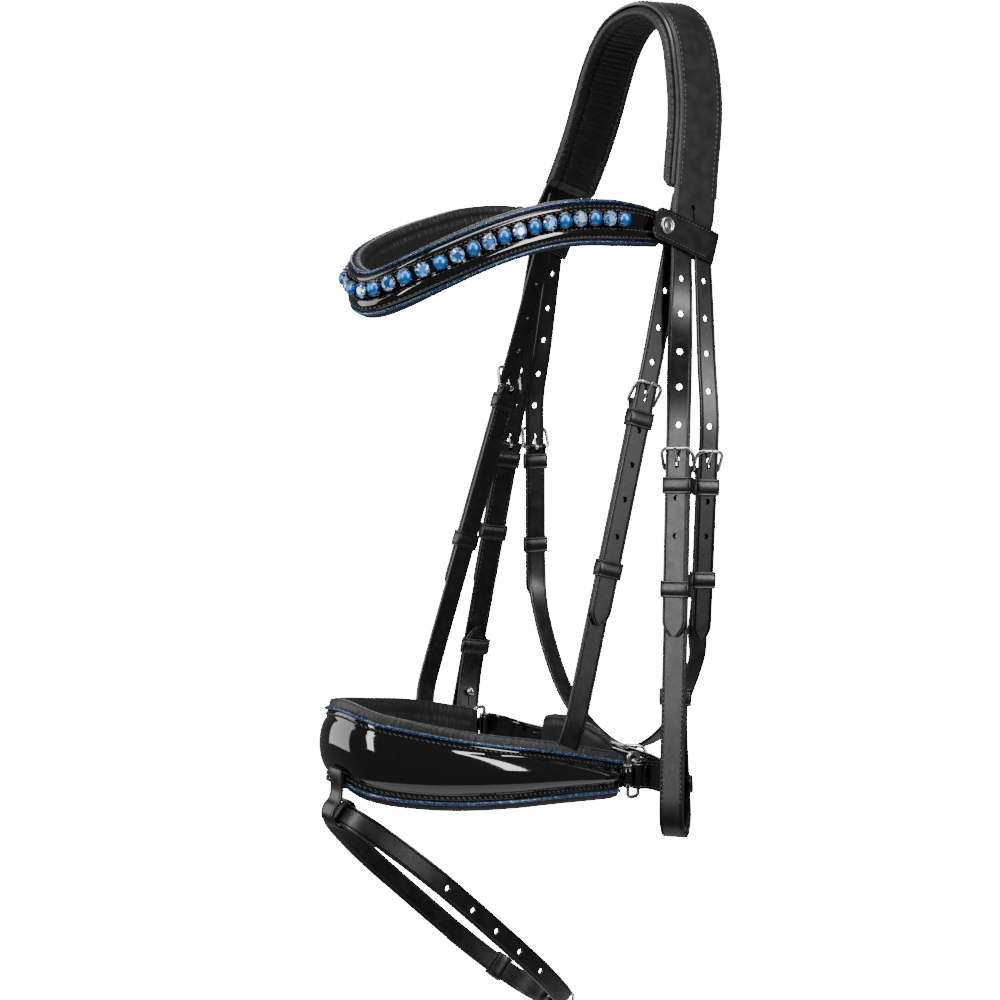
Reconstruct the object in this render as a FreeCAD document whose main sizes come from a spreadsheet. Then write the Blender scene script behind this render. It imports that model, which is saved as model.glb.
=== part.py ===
import FreeCAD
import Part
import Sketcher
import math
import os

# Snaffle bridle with a padded crown, a stone-set browband, a crank noseband and a flash strap.
# Millimetres. +Z is up, the horse faces -Y, and +X is the horse's left (near) side.
# The origin is the poll seat: the top middle of the crown padding's underside.

Vector = FreeCAD.Vector
UP = Vector(0, 0, 1)
NEAR = 1
FAR = -1
SIDE_NAMES = {NEAR: "near", FAR: "far"}

doc = FreeCAD.newDocument("SnaffleBridle")

# ---------------------------------------------------------------- driving dimensions
DIMENSIONS = {
    "billet_thick": 2,        # punched straps that pass through a buckle
    "strap_thick": 2.4,         # straps that hang from a buckle
    "layer_gap": 0.25,          # between two straps that lie on each other
    "cheek_wide": 15,
    "noseband_strap_wide": 14,
    "throat_wide": 12.5,
    "flash_wide": 13,
    "crank_wide": 17,
    "wire": 2.2,                # buckle frame and bar thickness
    "frame_tall": 14,           # buckle bar to front bar, centre to centre
    "frame_side_gap": 0.9,      # between a strap's edge and the buckle's side
    "frame_tilt": 29,
    "bar_play": 0.05,           # radial play of a tongue or a chape on its bar
    "tongue_wall": 0.9,
    "tongue_eye_wide": 2.4,
    "tongue_radius": 0.9,
    "tongue_reach": 15.4,
    "tongue_angle": 37.9,
    "chape_wall": 1.2,
    "tongue_slot_wide": 3.2,
    "hole_radius": 1.8,
    "hole_pitch": 21.7,
    "used_hole_rise": 4.5,      # from the bar to the hole that the tongue uses
    "keeper_wall": 1,
    "keeper_tall": 10,
    "keeper_play": 0.35,
    "crown_thick": 2.6,
    "crown_lift": 2.3,          # the sliphead's room between padding and leather
    "crown_pad_thick": 8,
    "browband_pad_thick": 7,
    "browband_patent_thick": 2.8,
    "stone_pitch": 9.8,
    "stone_count": 35,
    "stone_radius": 3.7,
    "setting_radius": 4.1,
    "setting_tall": 1.6,
    "piping_radius": 1.1,
    "snap_radius": 5.2,
    "snap_thick": 1.5,
    "flap_tall": 19,
    "flap_thick": 2,
    "flap_long": 51,
    "flap_slope": 15.5,
    "noseband_pad_thick": 7,
    "noseband_patent_thick": 3.2,
    "ring_wire": 2.4,
    "ring_long": 8,
    "ring_tall": 24,
    "stud_post_radius": 1.5,
    "stud_head_radius": 3,
    "flash_loop_wide": 12,
    "flash_loop_radius": 8,
    "flash_loop_thick": 1.5,
}

sizes = doc.addObject("Spreadsheet::Sheet", "sizes")
for row, (alias, value) in enumerate(DIMENSIONS.items(), start=1):
    sizes.set(f"A{row}", alias.replace("_", " "))
    sizes.set(f"B{row}", str(value))
    sizes.setAlias(f"B{row}", alias)
doc.recompute()

parts = {}


def size(alias):
    return float(sizes.get(alias))


def publish(label, item):
    """Name a finished sub-part, which also names its file."""
    item.Label = label
    parts[label] = item
    return item


def feature(label, shape, placement=None):
    """A sub-part whose curved shape is worked out here from the sheet's sizes."""
    item = doc.addObject("Part::Feature", label + "_shape")
    item.Shape = shape
    item.Placement = placement or FreeCAD.Placement()
    return item


def bind(item, expressions):
    for name, expression in expressions.items():
        item.setExpression(name, expression)


def box(name, left, front, bottom, wide, deep, tall):
    item = doc.addObject("Part::Box", name)
    bind(item, {
        "Length": wide,
        "Width": deep,
        "Height": tall,
        "Placement.Base.x": left,
        "Placement.Base.y": front,
        "Placement.Base.z": bottom,
    })
    return item


def rod_across(name, radius, long, rise, out):
    """A round bar centred on x = 0 and lying along X."""
    item = doc.addObject("Part::Cylinder", name)
    item.Placement.Rotation = FreeCAD.Rotation(Vector(0, 1, 0), 90)
    bind(item, {
        "Radius": radius,
        "Height": long,
        "Placement.Base.x": f"-({long}) / 2",
        "Placement.Base.y": rise,
        "Placement.Base.z": out,
    })
    return item


def joined(name, pieces, placement=None):
    item = doc.addObject("Part::MultiFuse", name)
    item.Shapes = pieces
    item.Placement = placement or FreeCAD.Placement()
    return item


def removed(name, base, tool, placement=None):
    item = doc.addObject("Part::Cut", name)
    item.Base = base
    item.Tool = tool
    item.Placement = placement or FreeCAD.Placement()
    return item


def group(name, pieces):
    """Separate solids that share one node."""
    item = doc.addObject("Part::Compound", name)
    item.Links = pieces
    return item


def origin_plane(body, role):
    for plane in body.Origin.OriginFeatures:
        if plane.Role == role:
            return plane
    raise ValueError(role)


def sketch_on(body, name, role):
    sketch = body.newObject("Sketcher::SketchObject", name)
    sketch.AttachmentSupport = (origin_plane(body, role), "")
    sketch.MapMode = "FlatFace"
    return sketch


def rectangle(sketch, left, bottom, wide, tall):
    """Add a rectangle whose place and size follow four expressions."""
    first = sketch.GeometryCount
    corners = [Vector(0, 0, 0), Vector(10, 0, 0), Vector(10, 10, 0), Vector(0, 10, 0)]
    for index in range(4):
        sketch.addGeometry(Part.LineSegment(corners[index], corners[(index + 1) % 4]), False)
    for index in range(4):
        follower = first + (index + 1) % 4
        sketch.addConstraint(Sketcher.Constraint("Coincident", first + index, 2, follower, 1))
    for index in (0, 2):
        sketch.addConstraint(Sketcher.Constraint("Horizontal", first + index))
        sketch.addConstraint(Sketcher.Constraint("Vertical", first + index + 1))
    rules = [
        (Sketcher.Constraint("DistanceX", first, 1, first, 2, 10), wide),
        (Sketcher.Constraint("DistanceY", first + 1, 1, first + 1, 2, 10), tall),
        (Sketcher.Constraint("DistanceX", -1, 1, first, 1, 0.5), left),
        (Sketcher.Constraint("DistanceY", -1, 1, first, 1, 0.5), bottom),
    ]
    for rule, expression in rules:
        index = sketch.addConstraint(rule)
        sketch.setExpression(f"Constraints[{index}]", expression)


def circle(sketch, radius):
    """Add a circle about the sketch's origin."""
    index = sketch.addGeometry(Part.Circle(Vector(0, 0, 0), UP, 5), False)
    sketch.addConstraint(Sketcher.Constraint("Coincident", index, 3, -1, 1))
    rule = sketch.addConstraint(Sketcher.Constraint("Radius", index, 5))
    sketch.setExpression(f"Constraints[{rule}]", radius)


# ---------------------------------------------------------------- strap frames
def facing(side, yaw):
    """Width direction of an upright strap: yaw turns its face from sideways to forwards."""
    turn = math.radians(yaw)
    return Vector(math.sin(turn), side * math.cos(turn), 0)


def mirrored(point, side):
    return Vector(side * point.x, point.y, point.z)


def strap_frame(place, upward, across):
    """Placement whose X runs across a strap, Y up it and Z out of its face."""
    along = Vector(upward).normalize()
    wide = (across - along * across.dot(along)).normalize()
    return FreeCAD.Placement(place, FreeCAD.Rotation(wide, along, wide.cross(along), "YXZ"))


def stations(points, across, steps):
    """Places along a smooth route, each with its along, across and outward directions."""
    curve = Part.BSplineCurve()
    curve.interpolate(Points=points)
    knots = [curve.parameter(point) for point in points]
    found = []
    for index in range(len(points) - 1):
        last = index == len(points) - 2
        for step in range(steps + (1 if last else 0)):
            part = step / steps
            knot = knots[index] + (knots[index + 1] - knots[index]) * part
            along = curve.tangent(knot)[0]
            hint = across[index] * (1 - part) + across[index + 1] * part
            wide = (hint - along * hint.dot(along)).normalize()
            found.append((index + part, curve.value(knot), along, wide, wide.cross(along)))
    return found


def flat(wide, inner, outer, offset=0):
    """Section of a flat strap: corners as (across, outward)."""
    half = wide / 2
    return [(offset - half, inner), (offset + half, inner), (offset + half, outer), (offset - half, outer)]


def rolled(wide, thick, offset=0):
    """Section of a padded piece with rolled edges, its back flat."""
    half = wide / 2
    roll = min(thick * 0.45, half * 0.5)
    return [
        (offset - half, -0.3 * thick), (offset - half + 0.3 * roll, -0.8 * thick),
        (offset - half + roll, -thick), (offset + half - roll, -thick),
        (offset + half - 0.3 * roll, -0.8 * thick), (offset + half, -0.3 * thick),
        (offset + half - 0.5 * roll, 0), (offset - half + 0.5 * roll, 0),
    ]


def round_section(radius, offset, out):
    """Section of a piping cord."""
    corners = []
    for index in range(8):
        turn = math.pi * (2 * index + 1) / 8
        corners.append((offset + radius * math.cos(turn), out + radius * math.sin(turn)))
    return corners


def band(points, across, sections, steps=3):
    """Solid carried along a route; sections change evenly from one route point to the next."""
    if isinstance(across, Vector):
        across = [across] * len(points)
    if isinstance(sections[0], tuple):
        sections = [sections] * len(points)
    wires = []
    for where, place, _, wide, out in stations(points, across, steps):
        low = min(int(where), len(points) - 2)
        part = where - low
        corners = []
        for start, end in zip(sections[low], sections[low + 1]):
            sideways = start[0] * (1 - part) + end[0] * part
            outwards = start[1] * (1 - part) + end[1] * part
            corners.append(place + wide * sideways + out * outwards)
        wires.append(Part.makePolygon(corners + corners[:1]))
    return Part.makeLoft(wires, True, True)


def punched(shape, holes, radius):
    """Cut round holes, each given as a place and the direction through the strap."""
    reach = 6
    for place, out in holes:
        shape = shape.cut(Part.makeCylinder(radius, 2 * reach, place - out * reach, out))
    return shape


def tongue_slot(frame):
    """Long hole in a strap where the buckle's tongue comes through it."""
    half = size("tongue_radius") + 0.35
    straight = 4.7
    middle = size("used_hole_rise")
    slot = Part.makeBox(2 * half, straight, 12, Vector(-half, middle - straight / 2, -6))
    for end in (-1, 1):
        round_end = Part.makeCylinder(half, 12, Vector(0, middle + end * straight / 2, -6))
        slot = slot.fuse(round_end)
    slot.Placement = frame
    return slot


# ---------------------------------------------------------------- buckles and keepers
BAR_OUT = "-(sizes.layer_gap + sizes.wire / 2 + sizes.bar_play + sizes.chape_wall)"


def bar_out():
    return -(size("layer_gap") + size("wire") / 2 + size("bar_play") + size("chape_wall"))


def buckle_frame(name, wide, frame):
    """Buckle: a tilted wire frame, open at the foot, with a round bar across it."""
    body = doc.addObject("PartDesign::Body", name + "_frame")
    inside = f"({wide} + 2 * sizes.frame_side_gap)"
    sketch = sketch_on(body, name + "_outline", "XY_Plane")
    rectangle(sketch, f"-{inside} / 2 - sizes.wire", "-sizes.wire / 2",
              f"{inside} + 2 * sizes.wire", "sizes.frame_tall + sizes.wire")
    plate = body.newObject("PartDesign::Pad", name + "_plate")
    plate.Profile = sketch
    plate.Midplane = True
    plate.setExpression("Length", "sizes.wire")
    opening = sketch_on(body, name + "_opening", "XY_Plane")
    rectangle(opening, f"-{inside} / 2", "-2 * sizes.wire", inside, "sizes.frame_tall + 1.5 * sizes.wire")
    window = body.newObject("PartDesign::Pocket", name + "_window")
    window.Profile = opening
    window.Type = "ThroughAll"
    window.Midplane = True
    bar = body.newObject("PartDesign::AdditiveCylinder", name + "_bar")
    bar.AttachmentSupport = (origin_plane(body, "YZ_Plane"), "")
    bar.MapMode = "FlatFace"
    bind(bar, {"Radius": "sizes.wire / 2", "Height": f"{inside} + 2 * sizes.wire"})
    bar.setExpression("AttachmentOffset.Base.z", f"-{inside} / 2 - sizes.wire")
    tilt = FreeCAD.Placement(Vector(0, 0, bar_out()), FreeCAD.Rotation(Vector(1, 0, 0), size("frame_tilt")))
    body.Placement = frame.multiply(tilt)
    return body


def tongue(name, frame):
    """Buckle tongue: an eye round the bar and a pin that rests on the frame's front bar."""
    eye = removed(
        name + "_eye",
        rod_across(name + "_eye_body", "sizes.wire / 2 + sizes.bar_play + sizes.tongue_wall",
                   "sizes.tongue_eye_wide", "0", BAR_OUT),
        rod_across(name + "_eye_bore", "sizes.wire / 2 + sizes.bar_play",
                   "sizes.tongue_eye_wide + 2", "0", BAR_OUT),
    )
    start = size("wire") / 2 + size("bar_play") + 0.3
    lean = math.radians(size("tongue_angle"))
    toward = Vector(0, math.cos(lean), math.sin(lean))
    pin = doc.addObject("Part::Cylinder", name + "_pin")
    pin.Placement = FreeCAD.Placement(Vector(0, 0, bar_out()) + toward * start,
                                      FreeCAD.Rotation(UP, toward))
    bind(pin, {"Radius": "sizes.tongue_radius", "Height": f"sizes.tongue_reach - {start}"})
    tip = doc.addObject("Part::Sphere", name + "_tip")
    tip.Placement.Base = Vector(0, 0, bar_out()) + toward * size("tongue_reach")
    tip.setExpression("Radius", "sizes.tongue_radius")
    return joined(name + "_whole", [eye, pin, tip], frame)


def chape_eye(name, wide, frame):
    """Strap end folded round the buckle's bar, with the tongue's slot cut in it."""
    outer = rod_across(name + "_fold", "sizes.wire / 2 + sizes.bar_play + sizes.chape_wall", wide, "0", BAR_OUT)
    bore = rod_across(name + "_bore", "sizes.wire / 2 + sizes.bar_play", f"{wide} + 2", "0", BAR_OUT)
    return removed(name + "_eye", outer, bore, frame)


def slot_block(frame):
    """Room for the tongue's eye in a folded strap end."""
    half = size("tongue_slot_wide") / 2
    block = Part.makeBox(2 * half, 6.4, 7, Vector(-half, -3.4, bar_out() - 3.4))
    block.Placement = frame
    return block


def keeper(name, wide, rise, inner, outer, frame, tall="sizes.keeper_tall"):
    """Leather band closed round the straps that it holds."""
    clear = f"({wide} / 2 + sizes.keeper_play)"
    low = f"({inner} - sizes.keeper_play)"
    deep = f"({outer} - {inner} + 2 * sizes.keeper_play)"
    hole = box(name + "_hole", f"-{clear}", f"{rise} - {tall}", low, f"2 * {clear}", f"2 * {tall}", deep)
    shell = box(name + "_shell", f"-{clear} - sizes.keeper_wall", f"{rise} - {tall} / 2",
                f"{low} - sizes.keeper_wall", f"2 * {clear} + 2 * sizes.keeper_wall", tall,
                f"{deep} + 2 * sizes.keeper_wall")
    return removed(name + "_band", shell, hole, frame)


STACK_INNER = "(-sizes.layer_gap - sizes.strap_thick)"
STACK_OUTER = "sizes.billet_thick"


def strap_middle():
    return -size("layer_gap") - size("strap_thick") / 2


# ---------------------------------------------------------------- where the straps hang
HINGE_Z = -167
LEAVE_GAP = 0.3
cheek_up = Vector(-0.122, 0.127, 0.984)
throat_up = {NEAR: Vector(-0.03, 0.066, 1), FAR: Vector(-0.03, -0.03, 1)}
noseband_up = Vector(-0.051, 0.301, 0.952)
cheek_bar = Vector(80.6, -48.2, -269)
throat_bar = Vector(81.4, -25.6, -272)
noseband_bar = Vector(64.2, -62.0, -230.6)
CHEEK_YAW = {NEAR: 62, FAR: -15}
THROAT_YAW = {NEAR: 20, FAR: -20}
NOSEBAND_YAW = {NEAR: 10, FAR: 0}


def hanging_frame(side, bar, upward, yaw):
    return strap_frame(mirrored(bar, side), mirrored(upward, side), facing(side, yaw))


def at(frame, across, rise, out=0):
    return frame.multVec(Vector(across, rise, out))


def billet(name, side, frame, yaw, root, wide, tail, above, below, pitch):
    """Punched strap from the crown to its point, through the buckle. Returns both halves' solids."""
    thick = size("billet_thick")
    root = mirrored(root, side)
    top = at(frame, 0, 26)
    points = [at(frame, 0, -tail), at(frame, 0, 8 - tail), at(frame, 0, -tail * 0.7), at(frame, 0, -tail * 0.45),
              at(frame, 0, -tail * 0.2), at(frame, 0, 0), at(frame, 0, 14), top]
    for share in (0.25, 0.5, 0.75, 1):
        points.append(top + (root - top) * share)
    lower = facing(side, yaw)
    upper = facing(side, 4)
    across = [lower] * 8
    for share in (0.3, 0.65, 1, 1):
        across.append(lower * (1 - share) + upper * share)
    full = flat(wide, 0, thick)
    shape = band(points, across, [flat(4, 0, thick)] + [full] * 11)
    frames = stations(points, across, 12)
    rises = [size("used_hole_rise") + pitch * count for count in range(-below, above + 1) if count]
    holes = []
    for rise in rises:
        if rise < 20:
            holes.append((at(frame, 0, rise), frame.Rotation.multVec(UP)))
        else:
            place = top + (root - top).normalize() * (rise - 26)
            nearest = min(frames, key=lambda entry: (entry[1] - place).Length)
            holes.append((nearest[1], nearest[4]))
    shape = punched(shape, holes, size("hole_radius"))
    return shape.cut(tongue_slot(frame))


def cut_at_hinge(shape, keep_above):
    """The part of a strap above or below the level where it flexes."""
    reach = 400
    level = HINGE_Z + (LEAVE_GAP if keep_above else -LEAVE_GAP)
    bottom = level if keep_above else level - reach
    return shape.common(Part.makeBox(reach, reach, reach, Vector(-reach / 2, -reach / 2, bottom)))


# ---------------------------------------------------------------- crown
crown_half = [
    Vector(60.8, -23.5, -121), Vector(57.5, -19, -108), Vector(51.5, -11.5, -83), Vector(46, -5, -55),
    Vector(41, -2.5, -36), Vector(35.5, -0.5, -21), Vector(26, 1.5, -7), Vector(14, 3, 0.5),
]
crown_route = crown_half + [Vector(0, 3.5, 3)] + [mirrored(point, FAR) for point in reversed(crown_half)]
crown_width_half = [32, 31.5, 32, 33, 33, 32, 31.5, 31]
crown_widths = crown_width_half + [31] + crown_width_half[::-1]
REARWARD = Vector(0, 1, 0)

lift = size("crown_lift")
leather_top = lift + size("crown_thick")
crown_leather = band(crown_route, REARWARD, [flat(wide, lift, leather_top) for wide in crown_widths])
cheek_root = Vector(63.2, -32.2, -119)
throat_root = Vector(63.9, -18, -119)
cheek_pieces = {}
throat_pieces = {}
for side in (NEAR, FAR):
    cheek_frame = hanging_frame(side, cheek_bar, cheek_up, CHEEK_YAW[side])
    throat_frame = hanging_frame(side, throat_bar, throat_up[side], THROAT_YAW[side])
    cheek_pieces[side] = billet("cheek", side, cheek_frame, CHEEK_YAW[side], cheek_root,
                                size("cheek_wide"), 98.5, 5, 2, size("hole_pitch"))
    throat_pieces[side] = billet("throat", side, throat_frame, THROAT_YAW[side], throat_root,
                                 size("throat_wide"), 101, 5, 2, size("hole_pitch"))
    for whole in (cheek_pieces[side], throat_pieces[side]):
        crown_leather = crown_leather.fuse(cut_at_hinge(whole, True))
    keyhole = mirrored(Vector(64.5, -24.4, -117), side)
    crown_leather = punched(crown_leather, [(keyhole, Vector(side, 0, 0))], size("hole_radius"))
publish("crown_leather", feature("crown_leather", crown_leather))

pad_sections = [rolled(wide + 6, size("crown_pad_thick")) for wide in crown_widths[1:-1]]
publish("crown_padding", feature("crown_padding", band(crown_route[1:-1], REARWARD, pad_sections)))

cords = []
for edge in (-1, 1):
    sections = [round_section(0.7, edge * (wide / 2 + 1), lift + 0.6) for wide in crown_widths[1:-1]]
    cords.append(feature(f"crown_piping_{edge + 1}", band(crown_route[1:-1], REARWARD, sections)))
publish("crown_piping", group("crown_piping_cords", cords))

slip_wide = size("noseband_strap_wide")
slip_offset = -7
slip_arch = band(crown_route[1:-1], REARWARD, flat(slip_wide, 0.15, 2.05, slip_offset))
slip_pieces = {}
for side in (NEAR, FAR):
    frame = hanging_frame(side, noseband_bar, noseband_up, NOSEBAND_YAW[side])
    slip_pieces[side] = billet("sliphead", side, frame, NOSEBAND_YAW[side], Vector(56.6, -25, -104),
                               slip_wide, 133, 3, 5, 21)
    slip_arch = slip_arch.fuse(cut_at_hinge(slip_pieces[side], True))
publish("sliphead_arch", feature("sliphead_arch", slip_arch))

# ---------------------------------------------------------------- browband
browband_half = [
    Vector(61.9, -48, -128.5), Vector(63.5, -63, -126), Vector(63, -82, -124), Vector(60.5, -102, -123.5),
    Vector(57, -122, -125), Vector(53, -142, -129), Vector(48.5, -162, -135), Vector(42.5, -182, -143),
    Vector(33, -199, -151.5), Vector(18, -210, -159.5),
]
FAR_DIP = [0, 1, 4, 6, 8, 8, 7, 5, 3, 1]
browband_far = [mirrored(point, FAR) - UP * dip for point, dip in zip(browband_half, FAR_DIP)]
browband_route = browband_half + [Vector(0, -213.5, -163.5)] + browband_far[::-1]
ease = [0.75, 0.9] + [1] * 17 + [0.9, 0.75]
browband_pad = [rolled(27 * share, size("browband_pad_thick"), -1.2) for share in ease]
publish("browband_padding", feature("browband_padding", band(browband_route, UP, browband_pad)))
patent_face = 0.1 + size("browband_patent_thick")
thinning = [0.35, 0.85] + [1] * 17 + [0.85, 0.35]
patent_sections = [flat(20.5 * share, 0.1, 0.1 + size("browband_patent_thick") * thin, -0.6)
                   for share, thin in zip(ease, thinning)]
publish("browband_patent", feature("browband_patent", band(browband_route, UP, patent_sections)))
cords = []
for edge in (-1, 1):
    cord = size("piping_radius")
    sections = [round_section(cord * share, edge * 11.6 * share - 0.6, 0.3 + cord * thin)
                for share, thin in zip(ease, thinning)]
    cords.append(feature(f"browband_piping_{edge + 1}", band(browband_route, UP, sections)))
publish("browband_piping", group("browband_piping_cords", cords))


def stone_places():
    """Evenly spaced stone seats, counted out both ways from the front's middle."""
    frames = stations(browband_route, [UP] * len(browband_route), 40)
    lengths = [0]
    for previous, entry in zip(frames, frames[1:]):
        lengths.append(lengths[-1] + (entry[1] - previous[1]).Length)
    count = int(size("stone_count"))
    seats = []
    for index in range(count):
        goal = lengths[-1] / 2 + (index - (count - 1) / 2) * size("stone_pitch")
        nearest = min(range(len(frames)), key=lambda entry: abs(lengths[entry] - goal))
        _, place, _, wide, out = frames[nearest]
        seats.append((place + wide * 1.2 + out * (patent_face + 0.25), out))
    return seats


settings = []
pearls = []
crystals = []
radius = size("stone_radius")
tall = size("setting_tall")
for index, (seat, out) in enumerate(stone_places()):
    settings.append(Part.makeCylinder(size("setting_radius"), tall, seat, out))
    top = seat + out * (tall + 0.05)
    if index % 2:
        crystals.append(Part.makeCone(radius, radius * 0.55, 1.7, top, out))
    else:
        pearls.append(Part.makeSphere(radius, top, out, 0, 90, 360))
publish("stone_settings", feature("stone_settings", Part.makeCompound(settings)))
publish("pearls", feature("pearls", Part.makeCompound(pearls)))
publish("crystals", feature("crystals", Part.makeCompound(crystals)))

# ---------------------------------------------------------------- browband tabs
tab_inner = -2.8
tab_inner_thick = 1.5
flap_in = 3.7
fold_rise = 26.2
tab_bases = []
studs = []


def tab_frame(side):
    """X runs rearwards along the tab, Y up across it, Z outwards."""
    upright = strap_frame(mirrored(Vector(64.3, -33, -133), side), mirrored(Vector(-0.11, 0.1, 0.99), side),
                          Vector(0.04 * side, 1, 0))
    rear = upright.Rotation.multVec(Vector(1, 0, 0))
    upward = upright.Rotation.multVec(Vector(0, 1, 0))
    outward = mirrored(Vector(1, 0, 0), side)
    slope = math.radians(size("flap_slope"))
    along = rear * math.cos(slope) - upward * math.sin(slope)
    across = upward * math.cos(slope) + rear * math.sin(slope)
    normal = along.cross(across)
    if normal.dot(outward) < 0:
        across = across * -1
        normal = normal * -1
    return FreeCAD.Placement(upright.Base, FreeCAD.Rotation(along, across, normal, "XYZ"))


for side in (NEAR, FAR):
    name = SIDE_NAMES[side]
    frame = tab_frame(side)
    half = "sizes.flap_tall / 2"
    inner = box(name + "_tab_inner", "-13.8", f"-{half}", str(tab_inner), str(13.8 + fold_rise),
                "sizes.flap_tall", str(tab_inner_thick))
    fold = box(name + "_tab_fold", str(fold_rise - tab_inner_thick), f"-{half}", str(tab_inner),
               str(tab_inner_thick), "sizes.flap_tall", f"{flap_in - 0.4 - tab_inner}")
    tab_bases.append(joined(name + "_tab_base", [inner, fold], frame))

    body = doc.addObject("PartDesign::Body", name + "_flap_body")
    sketch = sketch_on(body, name + "_flap_outline", "XY_Plane")
    rectangle(sketch, f"{fold_rise} - sizes.flap_long", f"-{half}", "sizes.flap_long", "sizes.flap_tall")
    leaf = body.newObject("PartDesign::Pad", name + "_flap_leaf")
    leaf.Profile = sketch
    leaf.setExpression("Length", "sizes.flap_thick")
    body.Placement = frame.multiply(FreeCAD.Placement(Vector(0, 0, flap_in), FreeCAD.Rotation()))
    publish(name + "_browband_flap", body)

    cap_rise = fold_rise - size("flap_long") + 9
    cap = doc.addObject("PartDesign::Body", name + "_cap_body")
    sketch = sketch_on(cap, name + "_cap_outline", "XY_Plane")
    circle(sketch, "sizes.snap_radius")
    disc = cap.newObject("PartDesign::Pad", name + "_cap_disc")
    disc.Profile = sketch
    disc.setExpression("Length", "sizes.snap_thick")
    edge = cap.newObject("PartDesign::Chamfer", name + "_cap_edge")
    doc.recompute()
    top_edges = [f"Edge{index + 1}" for index, item in enumerate(disc.Shape.Edges)
                 if item.BoundBox.ZMin > size("snap_thick") - 0.01]
    edge.Base = (disc, top_edges)
    edge.Size = 0.5
    seat = Vector(cap_rise, 0, flap_in + size("flap_thick") + 0.05)
    cap.Placement = frame.multiply(FreeCAD.Placement(seat, FreeCAD.Rotation()))
    publish(name + "_snap_cap", cap)

    stud = doc.addObject("Part::Cylinder", name + "_snap_stud")
    stud.Placement = frame.multiply(FreeCAD.Placement(Vector(cap_rise, 0, flap_in - 0.95), FreeCAD.Rotation()))
    bind(stud, {"Radius": "sizes.snap_radius * 0.6", "Height": "0.75"})
    studs.append(stud)
publish("browband_tabs", group("browband_tab_pair", tab_bases))
publish("snap_studs", group("snap_stud_pair", studs))

# ---------------------------------------------------------------- cheekpieces
STUD_RISE = -163
for side in (NEAR, FAR):
    name = SIDE_NAMES[side]
    wide = "sizes.cheek_wide"
    frame = hanging_frame(side, cheek_bar, cheek_up, CHEEK_YAW[side])
    publish(f"{name}_cheek_billet", feature(f"{name}_cheek_billet", cut_at_hinge(cheek_pieces[side], False)))
    publish(f"{name}_cheek_buckle", buckle_frame(f"{name}_cheek_buckle", wide, frame))
    publish(f"{name}_cheek_tongue", tongue(f"{name}_cheek_tongue", frame))

    middle = strap_middle()
    thick = size("strap_thick")
    # the bit loop: down, round the bottom and back up inside to the strap's point
    loop_route = [(-1.6, middle), (-60, middle), (-120, middle), (-160, middle), (-190, middle),
                  (-204, middle - 0.6), (-213, middle - 4.2), (-215.5, middle - 8), (-212.5, middle - 12),
                  (-203, middle - 14), (-190, middle - 11.8), (-172, middle - 7.4), (-158, middle - 4.4),
                  (-148, middle - 3.2), (-136, middle - 3), (-127, middle - 3), (-121, middle - 3)]
    route = [at(frame, 0, rise, out) for rise, out in loop_route]
    across = frame.Rotation.multVec(Vector(-1, 0, 0))
    section = flat(size("cheek_wide"), -thick / 2, thick / 2)
    return_section = flat(size("cheek_wide"), -1.2, 1.2)
    point_section = flat(4, -1.2, 1.2)
    strap = band(route, across, [section] * 9 + [return_section] * 7 + [point_section], 4)
    eye = chape_eye(f"{name}_cheek_chape", wide, frame)
    doc.recompute()
    strap = strap.fuse(eye.Shape).cut(slot_block(frame))
    inward = frame.Rotation.multVec(Vector(0, 0, -1))
    strap = strap.cut(Part.makeCylinder(size("stud_post_radius") + 0.3, 8, at(frame, 0, STUD_RISE, -4), inward))
    publish(f"{name}_cheek_strap", feature(f"{name}_cheek_strap", strap))

    keepers = [
        keeper(f"{name}_cheek_keeper_top", wide, "-9.5", STACK_INNER, STACK_OUTER, frame),
        keeper(f"{name}_cheek_keeper_middle", wide, "-134", "(-sizes.layer_gap - sizes.strap_thick - 3)",
               "-sizes.layer_gap", frame),
        keeper(f"{name}_cheek_keeper_low", wide, "-185", STACK_INNER, "-sizes.layer_gap", frame),
    ]
    publish(f"{name}_cheek_keepers", group(f"{name}_cheek_keeper_set", keepers))
    runner_rise = {NEAR: "-70.6", FAR: "-58"}[side]
    publish(f"{name}_cheek_runner",
            keeper(f"{name}_cheek_runner", wide, runner_rise, STACK_INNER, STACK_OUTER, frame))

    post = doc.addObject("Part::Cylinder", f"{name}_stud_post")
    post.Placement = FreeCAD.Placement(Vector(0, STUD_RISE, -9.5), FreeCAD.Rotation())
    bind(post, {"Radius": "sizes.stud_post_radius", "Height": "9.5 - sizes.layer_gap - sizes.strap_thick - 0.05"})
    head = doc.addObject("Part::Sphere", f"{name}_stud_head")
    head.Placement.Base = Vector(0, STUD_RISE, -10.8)
    head.setExpression("Radius", "sizes.stud_head_radius")
    publish(f"{name}_hook_stud", joined(f"{name}_stud", [post, head], frame))

# ---------------------------------------------------------------- throatlash
frames = {side: hanging_frame(side, throat_bar, throat_up[side], THROAT_YAW[side]) for side in (NEAR, FAR)}
hanging = [feature(f"throat_billet_{side + 1}", cut_at_hinge(throat_pieces[side], False)) for side in (NEAR, FAR)]
publish("throatlash_billets", group("throatlash_billet_pair", hanging))
middle = strap_middle()
throat_drop = [(-1.6, 0), (-22, 0), (-42, 0), (-60, 0), (-72, -0.2), (-84, -1.2), (-95, -3.2)]
throat_bend = [Vector(75, -25.2, -382), Vector(66.5, -24.7, -404), Vector(53.5, -24, -427),
               Vector(37, -23.5, -443), Vector(18.5, -23, -453)]
route = [at(frames[NEAR], 0, rise, middle + lean) for rise, lean in throat_drop]
route += throat_bend + [Vector(0, -23, -457)]
route += [mirrored(point, FAR) for point in reversed(throat_bend)]
route += [at(frames[FAR], 0, rise, middle + lean) for rise, lean in reversed(throat_drop)]
near_across = frames[NEAR].Rotation.multVec(Vector(-1, 0, 0))
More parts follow.
